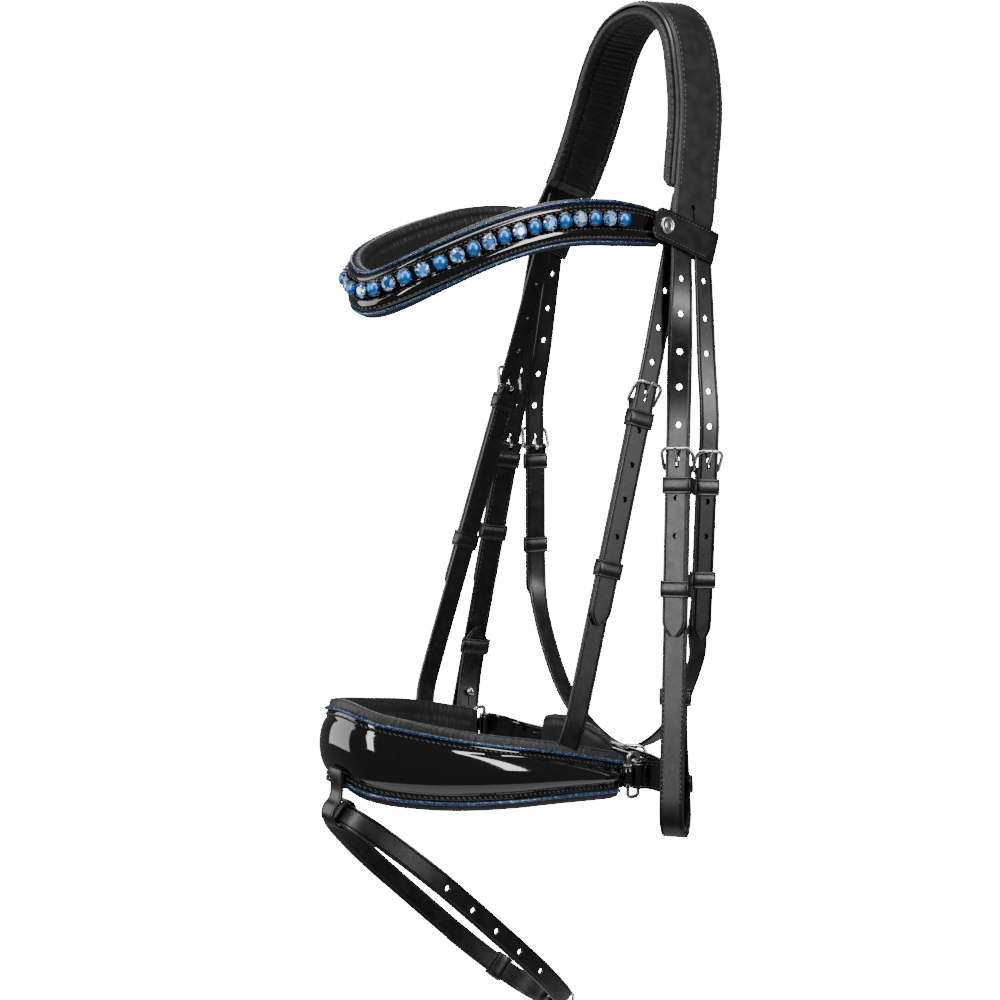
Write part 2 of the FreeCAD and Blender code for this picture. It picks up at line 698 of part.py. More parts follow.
far_across = frames[FAR].Rotation.multVec(Vector(1, 0, 0))
FORWARD = Vector(0, -1, 0)
across = [near_across] * 6 + [near_across * 0.6 + FORWARD * 0.4] + [FORWARD] * 11
across += [far_across * 0.6 + FORWARD * 0.4] + [far_across] * 6
half = size("strap_thick") / 2
throat_strap = band(route, across, flat(size("throat_wide"), -half, half), 4)
buckles = []
keepers = []
for side in (NEAR, FAR):
    name = SIDE_NAMES[side]
    frame = frames[side]
    wide = "sizes.throat_wide"
    eye = chape_eye(f"{name}_throat_chape", wide, frame)
    doc.recompute()
    throat_strap = throat_strap.fuse(eye.Shape).cut(slot_block(frame))
    buckles.append(buckle_frame(f"{name}_throat_buckle", wide, frame))
    keepers.append(keeper(f"{name}_throat_keeper", wide, "-9.5", STACK_INNER, STACK_OUTER, frame))
    publish(f"{name}_throatlash_tongue", tongue(f"{name}_throat_tongue", frame))
    publish(f"{name}_throatlash_runner",
            keeper(f"{name}_throat_runner", wide, "-65", STACK_INNER, STACK_OUTER, frame))
publish("throatlash_strap", feature("throatlash_strap", throat_strap))
publish("throatlash_buckles", group("throatlash_buckle_pair", buckles))
publish("throatlash_keepers", group("throatlash_keeper_pair", keepers))

# ---------------------------------------------------------------- noseband straps
hanging = [feature(f"slip_billet_{side + 1}", cut_at_hinge(slip_pieces[side], False)) for side in (NEAR, FAR)]
publish("sliphead_billets", group("sliphead_billet_pair", hanging))
straps = []
buckles = []
keepers = []
for side in (NEAR, FAR):
    name = SIDE_NAMES[side]
    wide = "sizes.noseband_strap_wide"
    frame = hanging_frame(side, noseband_bar, noseband_up, NOSEBAND_YAW[side])
    eye = chape_eye(f"{name}_noseband_chape", wide, frame)
    doc.recompute()
    inner = -size("layer_gap") - size("strap_thick")
    slab = Part.makeBox(size("noseband_strap_wide"), 205.4, size("strap_thick"),
                        Vector(-size("noseband_strap_wide") / 2, -207, inner))
    slab.Placement = frame
    straps.append(feature(f"{name}_noseband_slab", slab.fuse(eye.Shape).cut(slot_block(frame))))
    buckles.append(buckle_frame(f"{name}_noseband_buckle", wide, frame))
    keepers.append(keeper(f"{name}_noseband_keeper", wide, "-9.5", STACK_INNER, STACK_OUTER, frame))
    publish(f"{name}_noseband_tongue", tongue(f"{name}_noseband_tongue", frame))
    publish(f"{name}_noseband_runner",
            keeper(f"{name}_noseband_runner", wide, "-100", STACK_INNER, STACK_OUTER, frame))
publish("noseband_straps", group("noseband_strap_pair", straps))
publish("noseband_strap_buckles", group("noseband_buckle_pair", buckles))
publish("noseband_strap_keepers", group("noseband_keeper_pair", keepers))

# ---------------------------------------------------------------- noseband
noseband_half = [
    Vector(72.5, -84, -450.5), Vector(73, -100, -447.5), Vector(71.8, -125, -443), Vector(68, -150, -439.5),
    Vector(61, -175, -436.5), Vector(50, -199, -433), Vector(35, -218, -429.5), Vector(18, -230, -426),
]
noseband_route = noseband_half + [Vector(0, -233, -423)]
noseband_route += [mirrored(point, FAR) for point in reversed(noseband_half)]
height_half = [27, 30, 35, 40, 44, 48, 51, 52]
heights = height_half + [52] + height_half[::-1]
pad_thick = size("noseband_pad_thick")
publish("noseband_padding", feature(
    "noseband_padding", band(noseband_route, UP, [rolled(tall, pad_thick) for tall in heights])))
patent_out = 0.1 + size("noseband_patent_thick")
patent = band(noseband_route, UP, [flat(tall - 13, 0.1, patent_out) for tall in heights])
ring_z = -450.5
front_bar = Vector(75, -80.5, ring_z)
rings = []
for side in (NEAR, FAR):
    name = SIDE_NAMES[side]
    place = mirrored(front_bar, side)
    hold = 6.9
    wrap = Part.makeCylinder(size("ring_wire") / 2 + 1.8, 2 * hold, place - UP * hold)
    wrap = wrap.cut(Part.makeCylinder(size("ring_wire") / 2 + 0.05, 2 * hold, place - UP * hold))
    patent = patent.fuse(wrap)
    body = doc.addObject("PartDesign::Body", f"{name}_ring_body")
    sketch = sketch_on(body, f"{name}_ring_outline", "YZ_Plane")
    rectangle(sketch, "-sizes.ring_wire / 2", "-sizes.ring_tall / 2 - sizes.ring_wire",
              "sizes.ring_long + sizes.ring_wire", "sizes.ring_tall + 2 * sizes.ring_wire")
    plate = body.newObject("PartDesign::Pad", f"{name}_ring_plate")
    plate.Profile = sketch
    plate.Midplane = True
    plate.setExpression("Length", "sizes.ring_wire")
    opening = sketch_on(body, f"{name}_ring_opening", "YZ_Plane")
    rectangle(opening, "-sizes.ring_wire", "-sizes.ring_tall / 2", "sizes.ring_long + 2 * sizes.ring_wire",
              "sizes.ring_tall")
    window = body.newObject("PartDesign::Pocket", f"{name}_ring_window")
    window.Profile = opening
    window.Type = "ThroughAll"
    window.Midplane = True
    for bar_name, reach in (("front", "0"), ("rear", "sizes.ring_long")):
        bar = body.newObject("PartDesign::AdditiveCylinder", f"{name}_ring_{bar_name}")
        bar.AttachmentSupport = (origin_plane(body, "XY_Plane"), "")
        bar.MapMode = "FlatFace"
        bind(bar, {"Radius": "sizes.ring_wire / 2", "Height": "sizes.ring_tall + 2 * sizes.ring_wire"})
        bar.setExpression("AttachmentOffset.Base.y", reach)
        bar.setExpression("AttachmentOffset.Base.z", "-sizes.ring_tall / 2 - sizes.ring_wire")
    body.Placement = FreeCAD.Placement(place, FreeCAD.Rotation())
    rings.append(body)
publish("noseband_patent", feature("noseband_patent", patent))
publish("noseband_rings", group("noseband_ring_pair", rings))
cords = []
for edge in (-1, 1):
    cord = [round_section(size("piping_radius"), edge * (tall - 10.4) / 2, 1.5)
            for tall in heights]
    cords.append(feature(f"noseband_piping_{edge + 1}", band(noseband_route, UP, cord)))
publish("noseband_piping", group("noseband_piping_cords", cords))

# the flash loop hangs under the front's middle
loop_centre = Vector(0, -236, -462)
loop_points = [Vector(0, -237.3, -440), Vector(0, -237.5, -448.5)]
for turn in range(150, -151, -30):
    angle = math.radians(turn)
    spoke = Vector(0, -math.sin(angle), -math.cos(angle))
    loop_points.append(loop_centre + spoke * size("flash_loop_radius"))
loop_half = size("flash_loop_thick") / 2
flash_loop = band(loop_points, Vector(1, 0, 0), flat(size("flash_loop_wide"), -loop_half, loop_half), 3)
publish("flash_loop", feature("flash_loop", flash_loop))

# ---------------------------------------------------------------- crank strap and chin pad
crank_thick = 2.2


def crank_sag(deep):
    """How far the strap has dropped below the rings, getting lower behind the jaw."""
    share = min(max((deep + 72) / 26, 0), 1)
    return 7 * share * share * (3 - 2 * share)


ring_bar = Vector(75, -80.5 + size("ring_long"), ring_z)
crank_points = [(-74.8, -70.2), (-73, -61), (-66, -52.5), (-50, -48), (-25, -46.7), (0, -46.6), (25, -46.6),
                (48, -48.5), (62, -55), (69.5, -64)]
for turn in (180, 225, 270, 315, 360):
    angle = math.radians(turn)
    crank_points.append((ring_bar.x + 3.1 * math.cos(angle), ring_bar.y + 3.1 * math.sin(angle)))
crank_points += [(79.3, -64), (77, -54), (69, -45.5), (58, -41), (48, -38.6), (36, -38), (16, -38), (2, -38),
                 (-8, -38.2)]
route = [Vector(across, deep, ring_z - crank_sag(deep)) for across, deep in crank_points]
section = flat(size("crank_wide"), -crank_thick / 2, crank_thick / 2)
crank = band(route, UP * -1, section, 3)
far_bar = mirrored(ring_bar, FAR)
half = size("crank_wide") / 2
wrap = Part.makeCylinder(size("ring_wire") / 2 + 2.3, 2 * half, far_bar - UP * half)
crank = crank.fuse(wrap).cut(Part.makeCylinder(size("ring_wire") / 2 + 0.05, 2 * half, far_bar - UP * half))
rear_z = ring_z - crank_sag(-38)
crank_frame = strap_frame(Vector(28, -38 - crank_thick / 2, rear_z), Vector(1, 0, 0), UP)
crank = crank.cut(tongue_slot(crank_frame))
crank_out = crank_frame.Rotation.multVec(UP)
crank = punched(crank, [(at(crank_frame, 0, rise), crank_out) for rise in (-14, -27)], size("hole_radius"))
publish("crank_strap", feature("crank_strap", crank))
chape = Part.makeBox(size("crank_wide"), 22.4, size("strap_thick"),
                     Vector(-half, -24, -size("layer_gap") - size("strap_thick")))
chape.Placement = crank_frame
eye = chape_eye("crank_chape", "sizes.crank_wide", crank_frame)
doc.recompute()
publish("crank_chape", feature("crank_chape", chape.fuse(eye.Shape).cut(slot_block(crank_frame))))
publish("crank_buckle", buckle_frame("crank_buckle", "sizes.crank_wide", crank_frame))
publish("crank_tongue", tongue("crank_tongue", crank_frame))
chin_route = [Vector(across, -48.4, rear_z) for across in (-36, -24, -12, 2, 14)]
chin = [rolled(22, 6), rolled(27, 9), rolled(29, 10), rolled(27, 9), rolled(22, 6)]
chin_pad = band(chin_route, UP, chin)
publish("chin_pad", feature("chin_pad", chin_pad))

# ---------------------------------------------------------------- flash strap
flash_down = Vector(0, 0.728, -0.685)
flash_across = Vector(0, 0.685, 0.728)
flash_side = [(41.5, 143), (41.7, 118), (41.7, 91), (40, 62), (31, 30), (17, 7.5)]
flash_middle = 107


def flash_point(across, down, out=0):
    """A place in the flash strap's own plane, moved outwards from its middle line."""
    push = Vector(across, 0, 0)
    if down > flash_middle + 70:
        push = Vector(across, down - flash_middle - 70, 0)
    spot = Vector(across, down, 0)
    if out:
        spot = spot + push.normalize() * out
    return loop_centre + Vector(spot.x, 0, 0) + flash_down * spot.y


tail_out = 2.6
half_thick = size("billet_thick") / 2
flash_points = [flash_point(-41, 148, tail_out), flash_point(-39.3, 165, tail_out),
                flash_point(-34, 186, tail_out), flash_point(-26.5, 202, tail_out),
                flash_point(-15, 210.5, tail_out), flash_point(0, 213.5, tail_out),
                flash_point(14, 212, 2), flash_point(26, 203, 0.8), flash_point(34, 186)]
flash_points += [flash_point(39.3, 165)] + [flash_point(*spot) for spot in flash_side]
flash_points += [flash_point(0, 0)]
flash_points += [flash_point(-across, down) for across, down in reversed(flash_side)]
flash_points += [flash_point(-39.3, 165), flash_point(-34, 186), flash_point(-26.5, 202),
                 flash_point(-15, 210.5), flash_point(2.4, 213.5)]
flash_section = flat(size("flash_wide"), -half_thick, half_thick)
pointed = flat(4, -half_thick, half_thick)
flash = band(flash_points, flash_across, [pointed] + [flash_section] * (len(flash_points) - 1), 3)
flash_bar = flash_point(4, 213.5, tail_out - half_thick)
flash_frame = strap_frame(flash_bar, Vector(1, 0, 0), flash_across)
flash = flash.cut(tongue_slot(flash_frame))
flash = punched(flash, [(flash_point(41.5, down), Vector(1, 0, 0)) for down in (65, 89, 113, 137, 161)],
                size("hole_radius"))
eye = chape_eye("flash_chape", "sizes.flash_wide", flash_frame)
doc.recompute()
flash = flash.fuse(eye.Shape).cut(slot_block(flash_frame))
publish("flash_strap", feature("flash_strap", flash))
publish("flash_buckle", buckle_frame("flash_buckle", "sizes.flash_wide", flash_frame))
publish("flash_tongue", tongue("flash_tongue", flash_frame))
branch = flash_point(-26.5, 202) - flash_point(-34, 186)
keeper_frame = strap_frame(flash_point(-30.8, 194.2, tail_out - half_thick), branch, flash_across)
publish("flash_keeper", keeper("flash_keeper", "sizes.flash_wide", "0", STACK_INNER, STACK_OUTER, keeper_frame))

# ---------------------------------------------------------------- check and write
doc.recompute()
for item in doc.Objects:
    if "Invalid" in item.State or "Error" in item.State:
        raise RuntimeError(f"{item.Name} failed: {item.State}")
os.makedirs("parts", exist_ok=True)
for label, item in parts.items():
    shape = item.Shape
    if shape.isNull() or not shape.isValid() or not shape.Solids:
        raise RuntimeError(f"{label} has no valid solid")
    print(f"{label}: {len(shape.Solids)} solids, {shape.Volume:.0f} mm3")
    shape.exportStep(f"parts/{label}.step")
print(f"{len(parts)} nodes")
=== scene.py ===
import math
import bpy
import numpy as np
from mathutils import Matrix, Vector


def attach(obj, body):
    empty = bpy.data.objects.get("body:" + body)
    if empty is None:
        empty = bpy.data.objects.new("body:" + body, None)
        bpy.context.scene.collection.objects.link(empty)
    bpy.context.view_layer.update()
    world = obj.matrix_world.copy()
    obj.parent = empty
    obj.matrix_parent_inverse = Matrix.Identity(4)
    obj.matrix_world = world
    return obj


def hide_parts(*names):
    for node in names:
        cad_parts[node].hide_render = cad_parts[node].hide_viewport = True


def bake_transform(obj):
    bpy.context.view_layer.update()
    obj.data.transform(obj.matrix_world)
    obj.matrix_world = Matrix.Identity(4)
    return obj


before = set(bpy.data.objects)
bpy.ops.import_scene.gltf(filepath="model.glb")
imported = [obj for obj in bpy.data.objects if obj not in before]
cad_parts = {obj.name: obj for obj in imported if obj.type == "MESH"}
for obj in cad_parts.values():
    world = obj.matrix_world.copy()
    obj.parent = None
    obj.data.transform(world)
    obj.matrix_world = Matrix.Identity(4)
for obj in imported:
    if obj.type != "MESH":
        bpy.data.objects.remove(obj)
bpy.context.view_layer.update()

near, far = 1, -1
sideNames = {near: "near", far: "far"}
up = np.array([0.0, 0.0, 1.0])
mm = 0.001
print("frame loaded")

camera = {"place": (1.025, -0.919, -0.106), "turn": 52.0, "dip": 8.06, "lens": 78.95}
cameraData = bpy.data.cameras.new("camera")
cameraData.lens = camera["lens"]
cameraData.sensor_width = 36
cameraData.clip_start = 0.05
cameraObject = bpy.data.objects.new("camera", cameraData)
bpy.context.scene.collection.objects.link(cameraObject)
turn, dip = math.radians(camera["turn"]), math.radians(camera["dip"])
looking = Vector((-math.sin(turn) * math.cos(dip), math.cos(turn) * math.cos(dip), -math.sin(dip)))
cameraObject.location = camera["place"]
cameraObject.rotation_euler = looking.to_track_quat("-Z", "Y").to_euler()
bpy.context.scene.camera = cameraObject


# shader maths written as expressions
class Link:
    def __init__(self, paint, socket):
        self.paint, self.socket = paint, socket

    def maths(self, operation, other, swapped=False):
        pair = [other, self] if swapped else [self, other]
        return self.paint.node("ShaderNodeMath", {"operation": operation}, {0: pair[0], 1: pair[1]})

    def __add__(self, other): return self.maths("ADD", other)
    def __radd__(self, other): return self.maths("ADD", other, True)
    def __sub__(self, other): return self.maths("SUBTRACT", other)
    def __rsub__(self, other): return self.maths("SUBTRACT", other, True)
    def __mul__(self, other): return self.maths("MULTIPLY", other)


class Paint:
    def __init__(self, name):
        self.material = bpy.data.materials.new(name)
        self.material.use_nodes = True
        self.tree = self.material.node_tree
        self.surface = self.tree.nodes["Principled BSDF"]

    def node(self, kind, settings=None, inputs=None, output=0):
        made = self.tree.nodes.new(kind)
        for key, value in (settings or {}).items():
            if key == "stops":
                for index, (place, colour) in enumerate(value):
                    stop = made.color_ramp.elements[index] if index < 2 else made.color_ramp.elements.new(place)
                    stop.position, stop.color = place, (*colour, 1)
            else:
                setattr(made, key, value)
        for key, value in (inputs or {}).items():
            if isinstance(value, Link):
                self.tree.links.new(value.socket, made.inputs[key])
            else:
                made.inputs[key].default_value = value
        return Link(self, made.outputs[output])

    # Put values or links on the surface's own sockets.
    def set(self, **values):
        for key, value in values.items():
            socket = self.surface.inputs[key.replace("_", " ")]
            if isinstance(value, Link):
                self.tree.links.new(value.socket, socket)
            else:
                socket.default_value = value
        return self.material

    def place(self):
        return self.node("ShaderNodeTexCoord", output=3)

    # One number of a UV layer: strap is across and along, trim is the distance from the edge.
    def measure(self, layer, axis):
        layerLink = self.node("ShaderNodeUVMap", {"uv_map": layer})
        return self.node("ShaderNodeSeparateXYZ", inputs={0: layerLink}, output=axis)

    def noise(self, scale, detail=3, vector=None, rough=0.5):
        return self.node("ShaderNodeTexNoise", inputs={"Vector": vector or self.place(), "Scale": scale,
                                                       "Detail": detail, "Roughness": rough})

    def cells(self, scale, output=0):
        return self.node("ShaderNodeTexVoronoi", inputs={"Vector": self.place(), "Scale": scale}, output=output)

    def step(self, value, low, high):
        return self.node("ShaderNodeMapRange", {"interpolation_type": "SMOOTHSTEP"},
                         {"Value": value, "From Min": low, "From Max": high})

    def size(self, value):
        return self.node("ShaderNodeMath", {"operation": "ABSOLUTE"}, {0: value})

    def mix(self, factor, first, second):
        return self.node("ShaderNodeMix", {"data_type": "RGBA"}, {0: factor, 6: first, 7: second}, 2)

    def bump(self, height, distance, strength):
        return self.node("ShaderNodeBump", inputs={"Strength": strength, "Distance": distance, "Height": height})


def rgb(red, green, blue):
    return (red, green, blue, 1.0)


# Dyed leather: fine pores, soft mottling, a pressed crease inside each edge whose line is darkened with painted shade,
# and a painted highlight lightening the colour at the cut edge.
def makeLeather(name, dark, light, rough, grain, crease=True, coat=0.15):
    paint = Paint(name)
    pores = paint.cells(2100)
    mottle = paint.noise(140, 4)
    fine = paint.noise(900, 5, rough=0.65)
    height = fine * 0.6 + pores * 0.5
    colourMix = paint.step(mottle, 0.35, 0.75) * 0.55
    if crease:
        edge = paint.measure("trim", 0)
        line = 1 - paint.step(paint.size(edge - 1.7 * mm), 0.1 * mm, 0.6 * mm)
        paintedEdgeHighlight = 1 - paint.step(edge, 0.0, 0.6 * mm)
        height = height * 0.3 - line * 3.4
        # Painted shade darkens the crease line's colour; a painted highlight lightens the colour within 0.6 mm of the
        # cut edge.
        colourMix = colourMix + paintedEdgeHighlight * 1.1 - line * 0.6
    colour = paint.mix(colourMix, rgb(*dark), rgb(*light))
    roughness = rough + (mottle - 0.5) * 0.22 + (fine - 0.5) * 0.16
    return paint.set(Base_Color=colour, Roughness=roughness, Normal=paint.bump(height, grain * mm, 0.6),
                     Coat_Weight=coat, Coat_Roughness=0.25, Specular_IOR_Level=0.5)


# Soft lining leather: pebbled grain, fine wrinkles running across the pad, a dull bloom.
def makeLining(name, dark, light, rough):
    paint = Paint(name)
    across, along = paint.measure("strap", 0), paint.measure("strap", 1)
    stretched = paint.node("ShaderNodeCombineXYZ", inputs={0: across * 0.28, 1: along, 2: 0.0})
    wrinkles = paint.noise(330, 3, stretched, 0.6)
    pebble = paint.cells(1500)
    fine = paint.noise(1100, 4)
    height = paint.step(wrinkles, 0.3, 0.8) * 1.4 + pebble * 0.35 + fine * 0.3
    colour = paint.mix(paint.noise(90, 3) * 0.8, rgb(*dark), rgb(*light))
    return paint.set(Base_Color=colour, Roughness=rough + (fine - 0.5) * 0.2,
                     Normal=paint.bump(height, 0.3 * mm, 0.85), Sheen_Weight=0.08, Sheen_Roughness=0.5)


# Lacquered leather: deep gloss with slow waves, faint dust and short hairline marks.
def makePatent(name):
    paint = Paint(name)
    waves = paint.noise(55, 2)
    marks = paint.step(paint.noise(420, 3), 0.62, 0.8)
    height = waves + paint.noise(800, 2) * 0.03
    colour = paint.mix(marks * 0.35, rgb(0.0025, 0.0025, 0.003), rgb(0.012, 0.012, 0.014))
    return paint.set(Base_Color=colour, Roughness=0.07 + marks * 0.1, Normal=paint.bump(height, 0.5 * mm, 0.35),
                     Coat_Weight=1.0, Coat_Roughness=0.03, Specular_IOR_Level=0.6)


# Glitter cord: small flakes, each with its own blue and its own tilt.
def makeGlitter(name):
    paint = Paint(name)
    flake = paint.cells(2600, output=1)
    value = paint.node("ShaderNodeSeparateXYZ", inputs={0: flake}, output=0)
    second = paint.node("ShaderNodeSeparateXYZ", inputs={0: flake}, output=1)
    colour = paint.node("ShaderNodeValToRGB", {"stops": [(0.0, (0.004, 0.01, 0.025)), (1.0, (0.45, 0.68, 1.0)),
                                                        (0.6, (0.016, 0.05, 0.13)), (0.88, (0.05, 0.15, 0.34))]},
                        {0: value})
    return paint.set(Base_Color=colour, Metallic=0.55, Roughness=0.22 + second * 0.3,
                     Normal=paint.bump(second, 0.35 * mm, 0.9), Coat_Weight=0.35, Coat_Roughness=0.2)


# Polished metal with fine random scratches and slightly duller patches.
def makeMetal(name, colour, rough, scratch=0.12):
    paint = Paint(name)
    cloud = paint.noise(180, 4)
    lines = paint.noise(2600, 2)
    shade = paint.mix(cloud * 0.5, rgb(*colour), rgb(*[value * 0.72 for value in colour]))
    return paint.set(Base_Color=shade, Metallic=1.0, Roughness=rough + (cloud - 0.5) * 0.14 + lines * 0.04,
                     Normal=paint.bump(lines, 0.02 * mm, scratch))


# Blue pearl: a lustrous ball with a clear lacquer; its colour is painted shade, deeper blue round its rim where it
# turns from view and brighter blue at its centre.
def makePearl(name):
    paint = Paint(name)
    # Painted shade: the facing weight darkens the base colour towards the pearl's outline.
    rim = paint.node("ShaderNodeLayerWeight", inputs={"Blend": 0.35}, output=1)
    colour = paint.mix(rim, rgb(0.03, 0.3, 0.95), rgb(0.002, 0.03, 0.22))
    cloud = paint.noise(500, 2)
    return paint.set(Base_Color=colour, Metallic=0.8, Roughness=0.36 + cloud * 0.06,
                     Normal=paint.bump(cloud, 0.02 * mm, 0.2), Coat_Weight=0.35, Coat_Roughness=0.12)


# Foil-backed cut stone: every facet keeps its own random blue, from near white to deep; the near-white facets are
# painted sparkle, and the stone glows faintly with its own colour as painted light.
def makeCrystal(name):
    paint = Paint(name)
    facetTintAndSparkle = paint.node("ShaderNodeAttribute", {"attribute_name": "facet"}, output=2)
    colour = paint.node("ShaderNodeValToRGB", {"stops": [(0.0, (0.015, 0.07, 0.2)), (1.0, (0.85, 0.95, 1.0)),
                                                        (0.35, (0.01, 0.16, 0.55)), (0.7, (0.12, 0.5, 0.95))]},
                        {0: facetTintAndSparkle})
    speck = paint.noise(1500, 2)
    # Painted glow: a weak emission of the facet colour, though the stone is no lamp.
    return paint.set(Base_Color=colour, Metallic=0.55, Roughness=0.05 + speck * 0.05, Coat_Weight=1.0,
                     Coat_Roughness=0.02, Emission_Color=colour, Emission_Strength=0.3)


paints = {
    "leather": makeLeather("bridleLeather", (0.0028, 0.0028, 0.003), (0.012, 0.012, 0.0125), 0.34, 0.13, coat=0.25),
    "plain": makeLeather("crownLeather", (0.0085, 0.0085, 0.0085), (0.021, 0.021, 0.021), 0.42, 0.12, coat=0.2),
    "lining": makeLining("liningLeather", (0.0055, 0.0055, 0.0058), (0.017, 0.017, 0.0175), 0.42),
    "patent": makePatent("patentLeather"),
    "glitter": makeGlitter("glitterCord"),
    # Crown cord colour: grey, much lighter than the leather; partly its own grey, partly a painted highlight along the
    # piping.
    "cord": makeLeather("crownCord", (0.05, 0.05, 0.053), (0.09, 0.09, 0.095), 0.2, 0.03, False, 0.8),
    # Thread colour: partly the thread's own grey-black, partly a painted highlight, raised up to 0.13 so the stitches
    # read as light specks.
    "thread": makeLeather("blackThread", (0.03, 0.03, 0.032), (0.13, 0.13, 0.135), 0.32, 0.05, False, 0.3),
    "steel": makeMetal("stainlessSteel", (0.66, 0.65, 0.63), 0.2),
    "darkMetal": makeMetal("stoneSetting", (0.16, 0.15, 0.15), 0.28),
    "pearl": makePearl("bluePearl"),
    "crystal": makeCrystal("paleCrystal"),
}
print("materials made")


# routes, profiles and meshes, worked out in millimetres
def unit(vectors):
    vectors = np.asarray(vectors, float)
    return vectors / np.linalg.norm(vectors, axis=-1, keepdims=True)


def mirrored(point, side):
    return np.array([side * point[0], point[1], point[2]], float)


def facing(side, yaw):
    return np.array([math.sin(math.radians(yaw)), side * math.cos(math.radians(yaw)), 0.0])


# A strap's own axes: X across it, Y up it, Z out of its face.
class Seat:
    def __init__(self, place, upward, across):
        self.base = np.array(place, float)
        self.y = unit(upward)
        self.x = unit(across - self.y * np.dot(across, self.y))
        self.z = np.cross(self.x, self.y)

    def at(self, across, rise, out=0.0):
        spot = self.base + np.multiply.outer(across, self.x) + np.multiply.outer(rise, self.y)
        return spot + np.multiply.outer(out, self.z)


# A smooth line: a cubic through each pair of points, its slopes chosen so that it bends evenly,
# with the first and last slopes taken from a cubic through the nearest four points.
class Route:
    def __init__(self, points, across, step=1.6):
        points = np.array(points, float)
        across = np.array(across, float)
        if across.ndim == 1:
            across = np.repeat(across[None], len(points), 0)
        self.knots = knots = np.concatenate([[0], np.cumsum(np.linalg.norm(np.diff(points, axis=0), axis=1))])
        count = len(points)
        gaps, rises = np.diff(knots), np.diff(points, axis=0)
        table, goal = np.eye(count), np.zeros((count, 3))
        for end, four in ((0, slice(0, 4)), (-1, slice(-4, None))):
            order = min(3, count - 1)
            goal[end] = [np.polyval(np.polyder(np.polyfit(knots[four], points[four, axis], order)), knots[end])
                         for axis in range(3)]
        inner = np.arange(1, count - 1)
        table[inner, inner - 1], table[inner, inner + 1] = gaps[1:], gaps[:-1]
        table[inner, inner] = 2 * (gaps[1:] + gaps[:-1])
        shares = (gaps[1:] / gaps[:-1])[:, None]
        goal[1:-1] = 3 * (shares * rises[:-1] + rises[1:] / shares)
        slopes = np.linalg.solve(table, goal)
        self.where = where = np.linspace(0, knots[-1], max(2, int(math.ceil(knots[-1] / step)) + 1))
        low = np.clip(np.searchsorted(knots, where, "right") - 1, 0, count - 2)
        gap = gaps[low][:, None]
        part = ((where - knots[low])[:, None]) / gap
        self.spot = ((2 * part**3 - 3 * part**2 + 1) * points[low] + (part**3 - 2 * part**2 + part) * gap * slopes[low]
                     + (3 * part**2 - 2 * part**3) * points[low + 1] + (part**3 - part**2) * gap * slopes[low + 1])
        speed = (6 * part**2 - 6 * part) * (points[low] - points[low + 1]) / gap
        speed = speed + (3 * part**2 - 4 * part + 1) * slopes[low] + (3 * part**2 - 2 * part) * slopes[low + 1]
        self.along = unit(speed)
        hint = across[low] * (1 - part) + across[low + 1] * part
        self.wide = unit(hint - self.along * np.sum(hint * self.along, 1)[:, None])
        self.out = np.cross(self.wide, self.along)
        self.run = np.concatenate([[0], np.cumsum(np.linalg.norm(np.diff(self.spot, axis=0), axis=1))])

    # Values given at the route's points, eased evenly to its stations.
    def spread(self, values):
        return np.interp(self.where, self.knots, np.broadcast_to(np.asarray(values, float), self.knots.shape))

    # Place, along, across and out directions at distances along the route.
    def frames(self, run):
        pick = [np.stack([np.interp(run, self.run, part[:, axis]) for axis in range(3)], -1)
                for part in (self.spot, self.along, self.wide, self.out)]
        return [pick[0]] + [unit(part) for part in pick[1:]]

    def nearest(self, spot):
        return float(self.run[np.argmin(np.linalg.norm(self.spot - np.array(spot, float), axis=1))])


# Depth of a strap's pressed lines, and the most it may be as a share of the strap's thickness.
pressed = {"deep": 0.34, "most": 0.22}


def column(values, stations):
    return np.broadcast_to(np.asarray(values, float), (stations,))[:, None]


# Rounded rectangle with quarter-round edges. The outer face rises above its edges by dome times
# (1 minus the square of twice the distance across over the width), and has a pressed line inside each edge.
def strapProfile(stations, wide, inner, outer, soft=0.55, dome=0.0):
    wide, inner, outer = (column(value, stations) for value in (wide, inner, outer))
    soft = np.minimum(soft, np.minimum(wide / 2.2, (outer - inner) / 2.05))
    quarter = np.linspace(0, math.pi / 2, 4)
    angles = np.concatenate([quarter, quarter + math.pi / 2, quarter + math.pi, quarter + 1.5 * math.pi])
    signs = np.repeat([[1, 1], [-1, 1], [-1, 0], [1, 0]], 4, 0)
    across = signs[:, 0] * (wide / 2 - soft) + soft * np.cos(angles)
    rise = np.where(signs[:, 1] > 0, outer - soft, inner + soft) + soft * np.sin(angles)
    extras = []
    lines = [(1, 1.1, 0), (1, 1.5, 1), (1, 1.9, 0), (0, 0, 0), (-1, 1.9, 0), (-1, 1.5, 1), (-1, 1.1, 0)]
    for side, inset, sunk in lines:
        spot = side * (wide / 2 - np.minimum(inset, wide * 0.2 * inset / 1.5))
        depth = sunk * np.minimum(pressed["deep"], (outer - inner) * pressed["most"])
        extras.append((spot, outer + dome * (1 - (2 * spot / wide) ** 2) - depth))
    top = [np.concatenate([part[index] for part in extras], 1) for index in (0, 1)]
    bottom = [np.concatenate([-share * (wide - 2 * soft) for share in (0.44, 0, -0.44)], 1), np.repeat(inner, 3, 1)]
    across = np.concatenate([across[:, :4], top[0], across[:, 4:12], bottom[0], across[:, 12:]], 1)
    rise = np.concatenate([rise[:, :4], top[1], rise[:, 4:12], bottom[1], rise[:, 12:]], 1)
    return across, rise


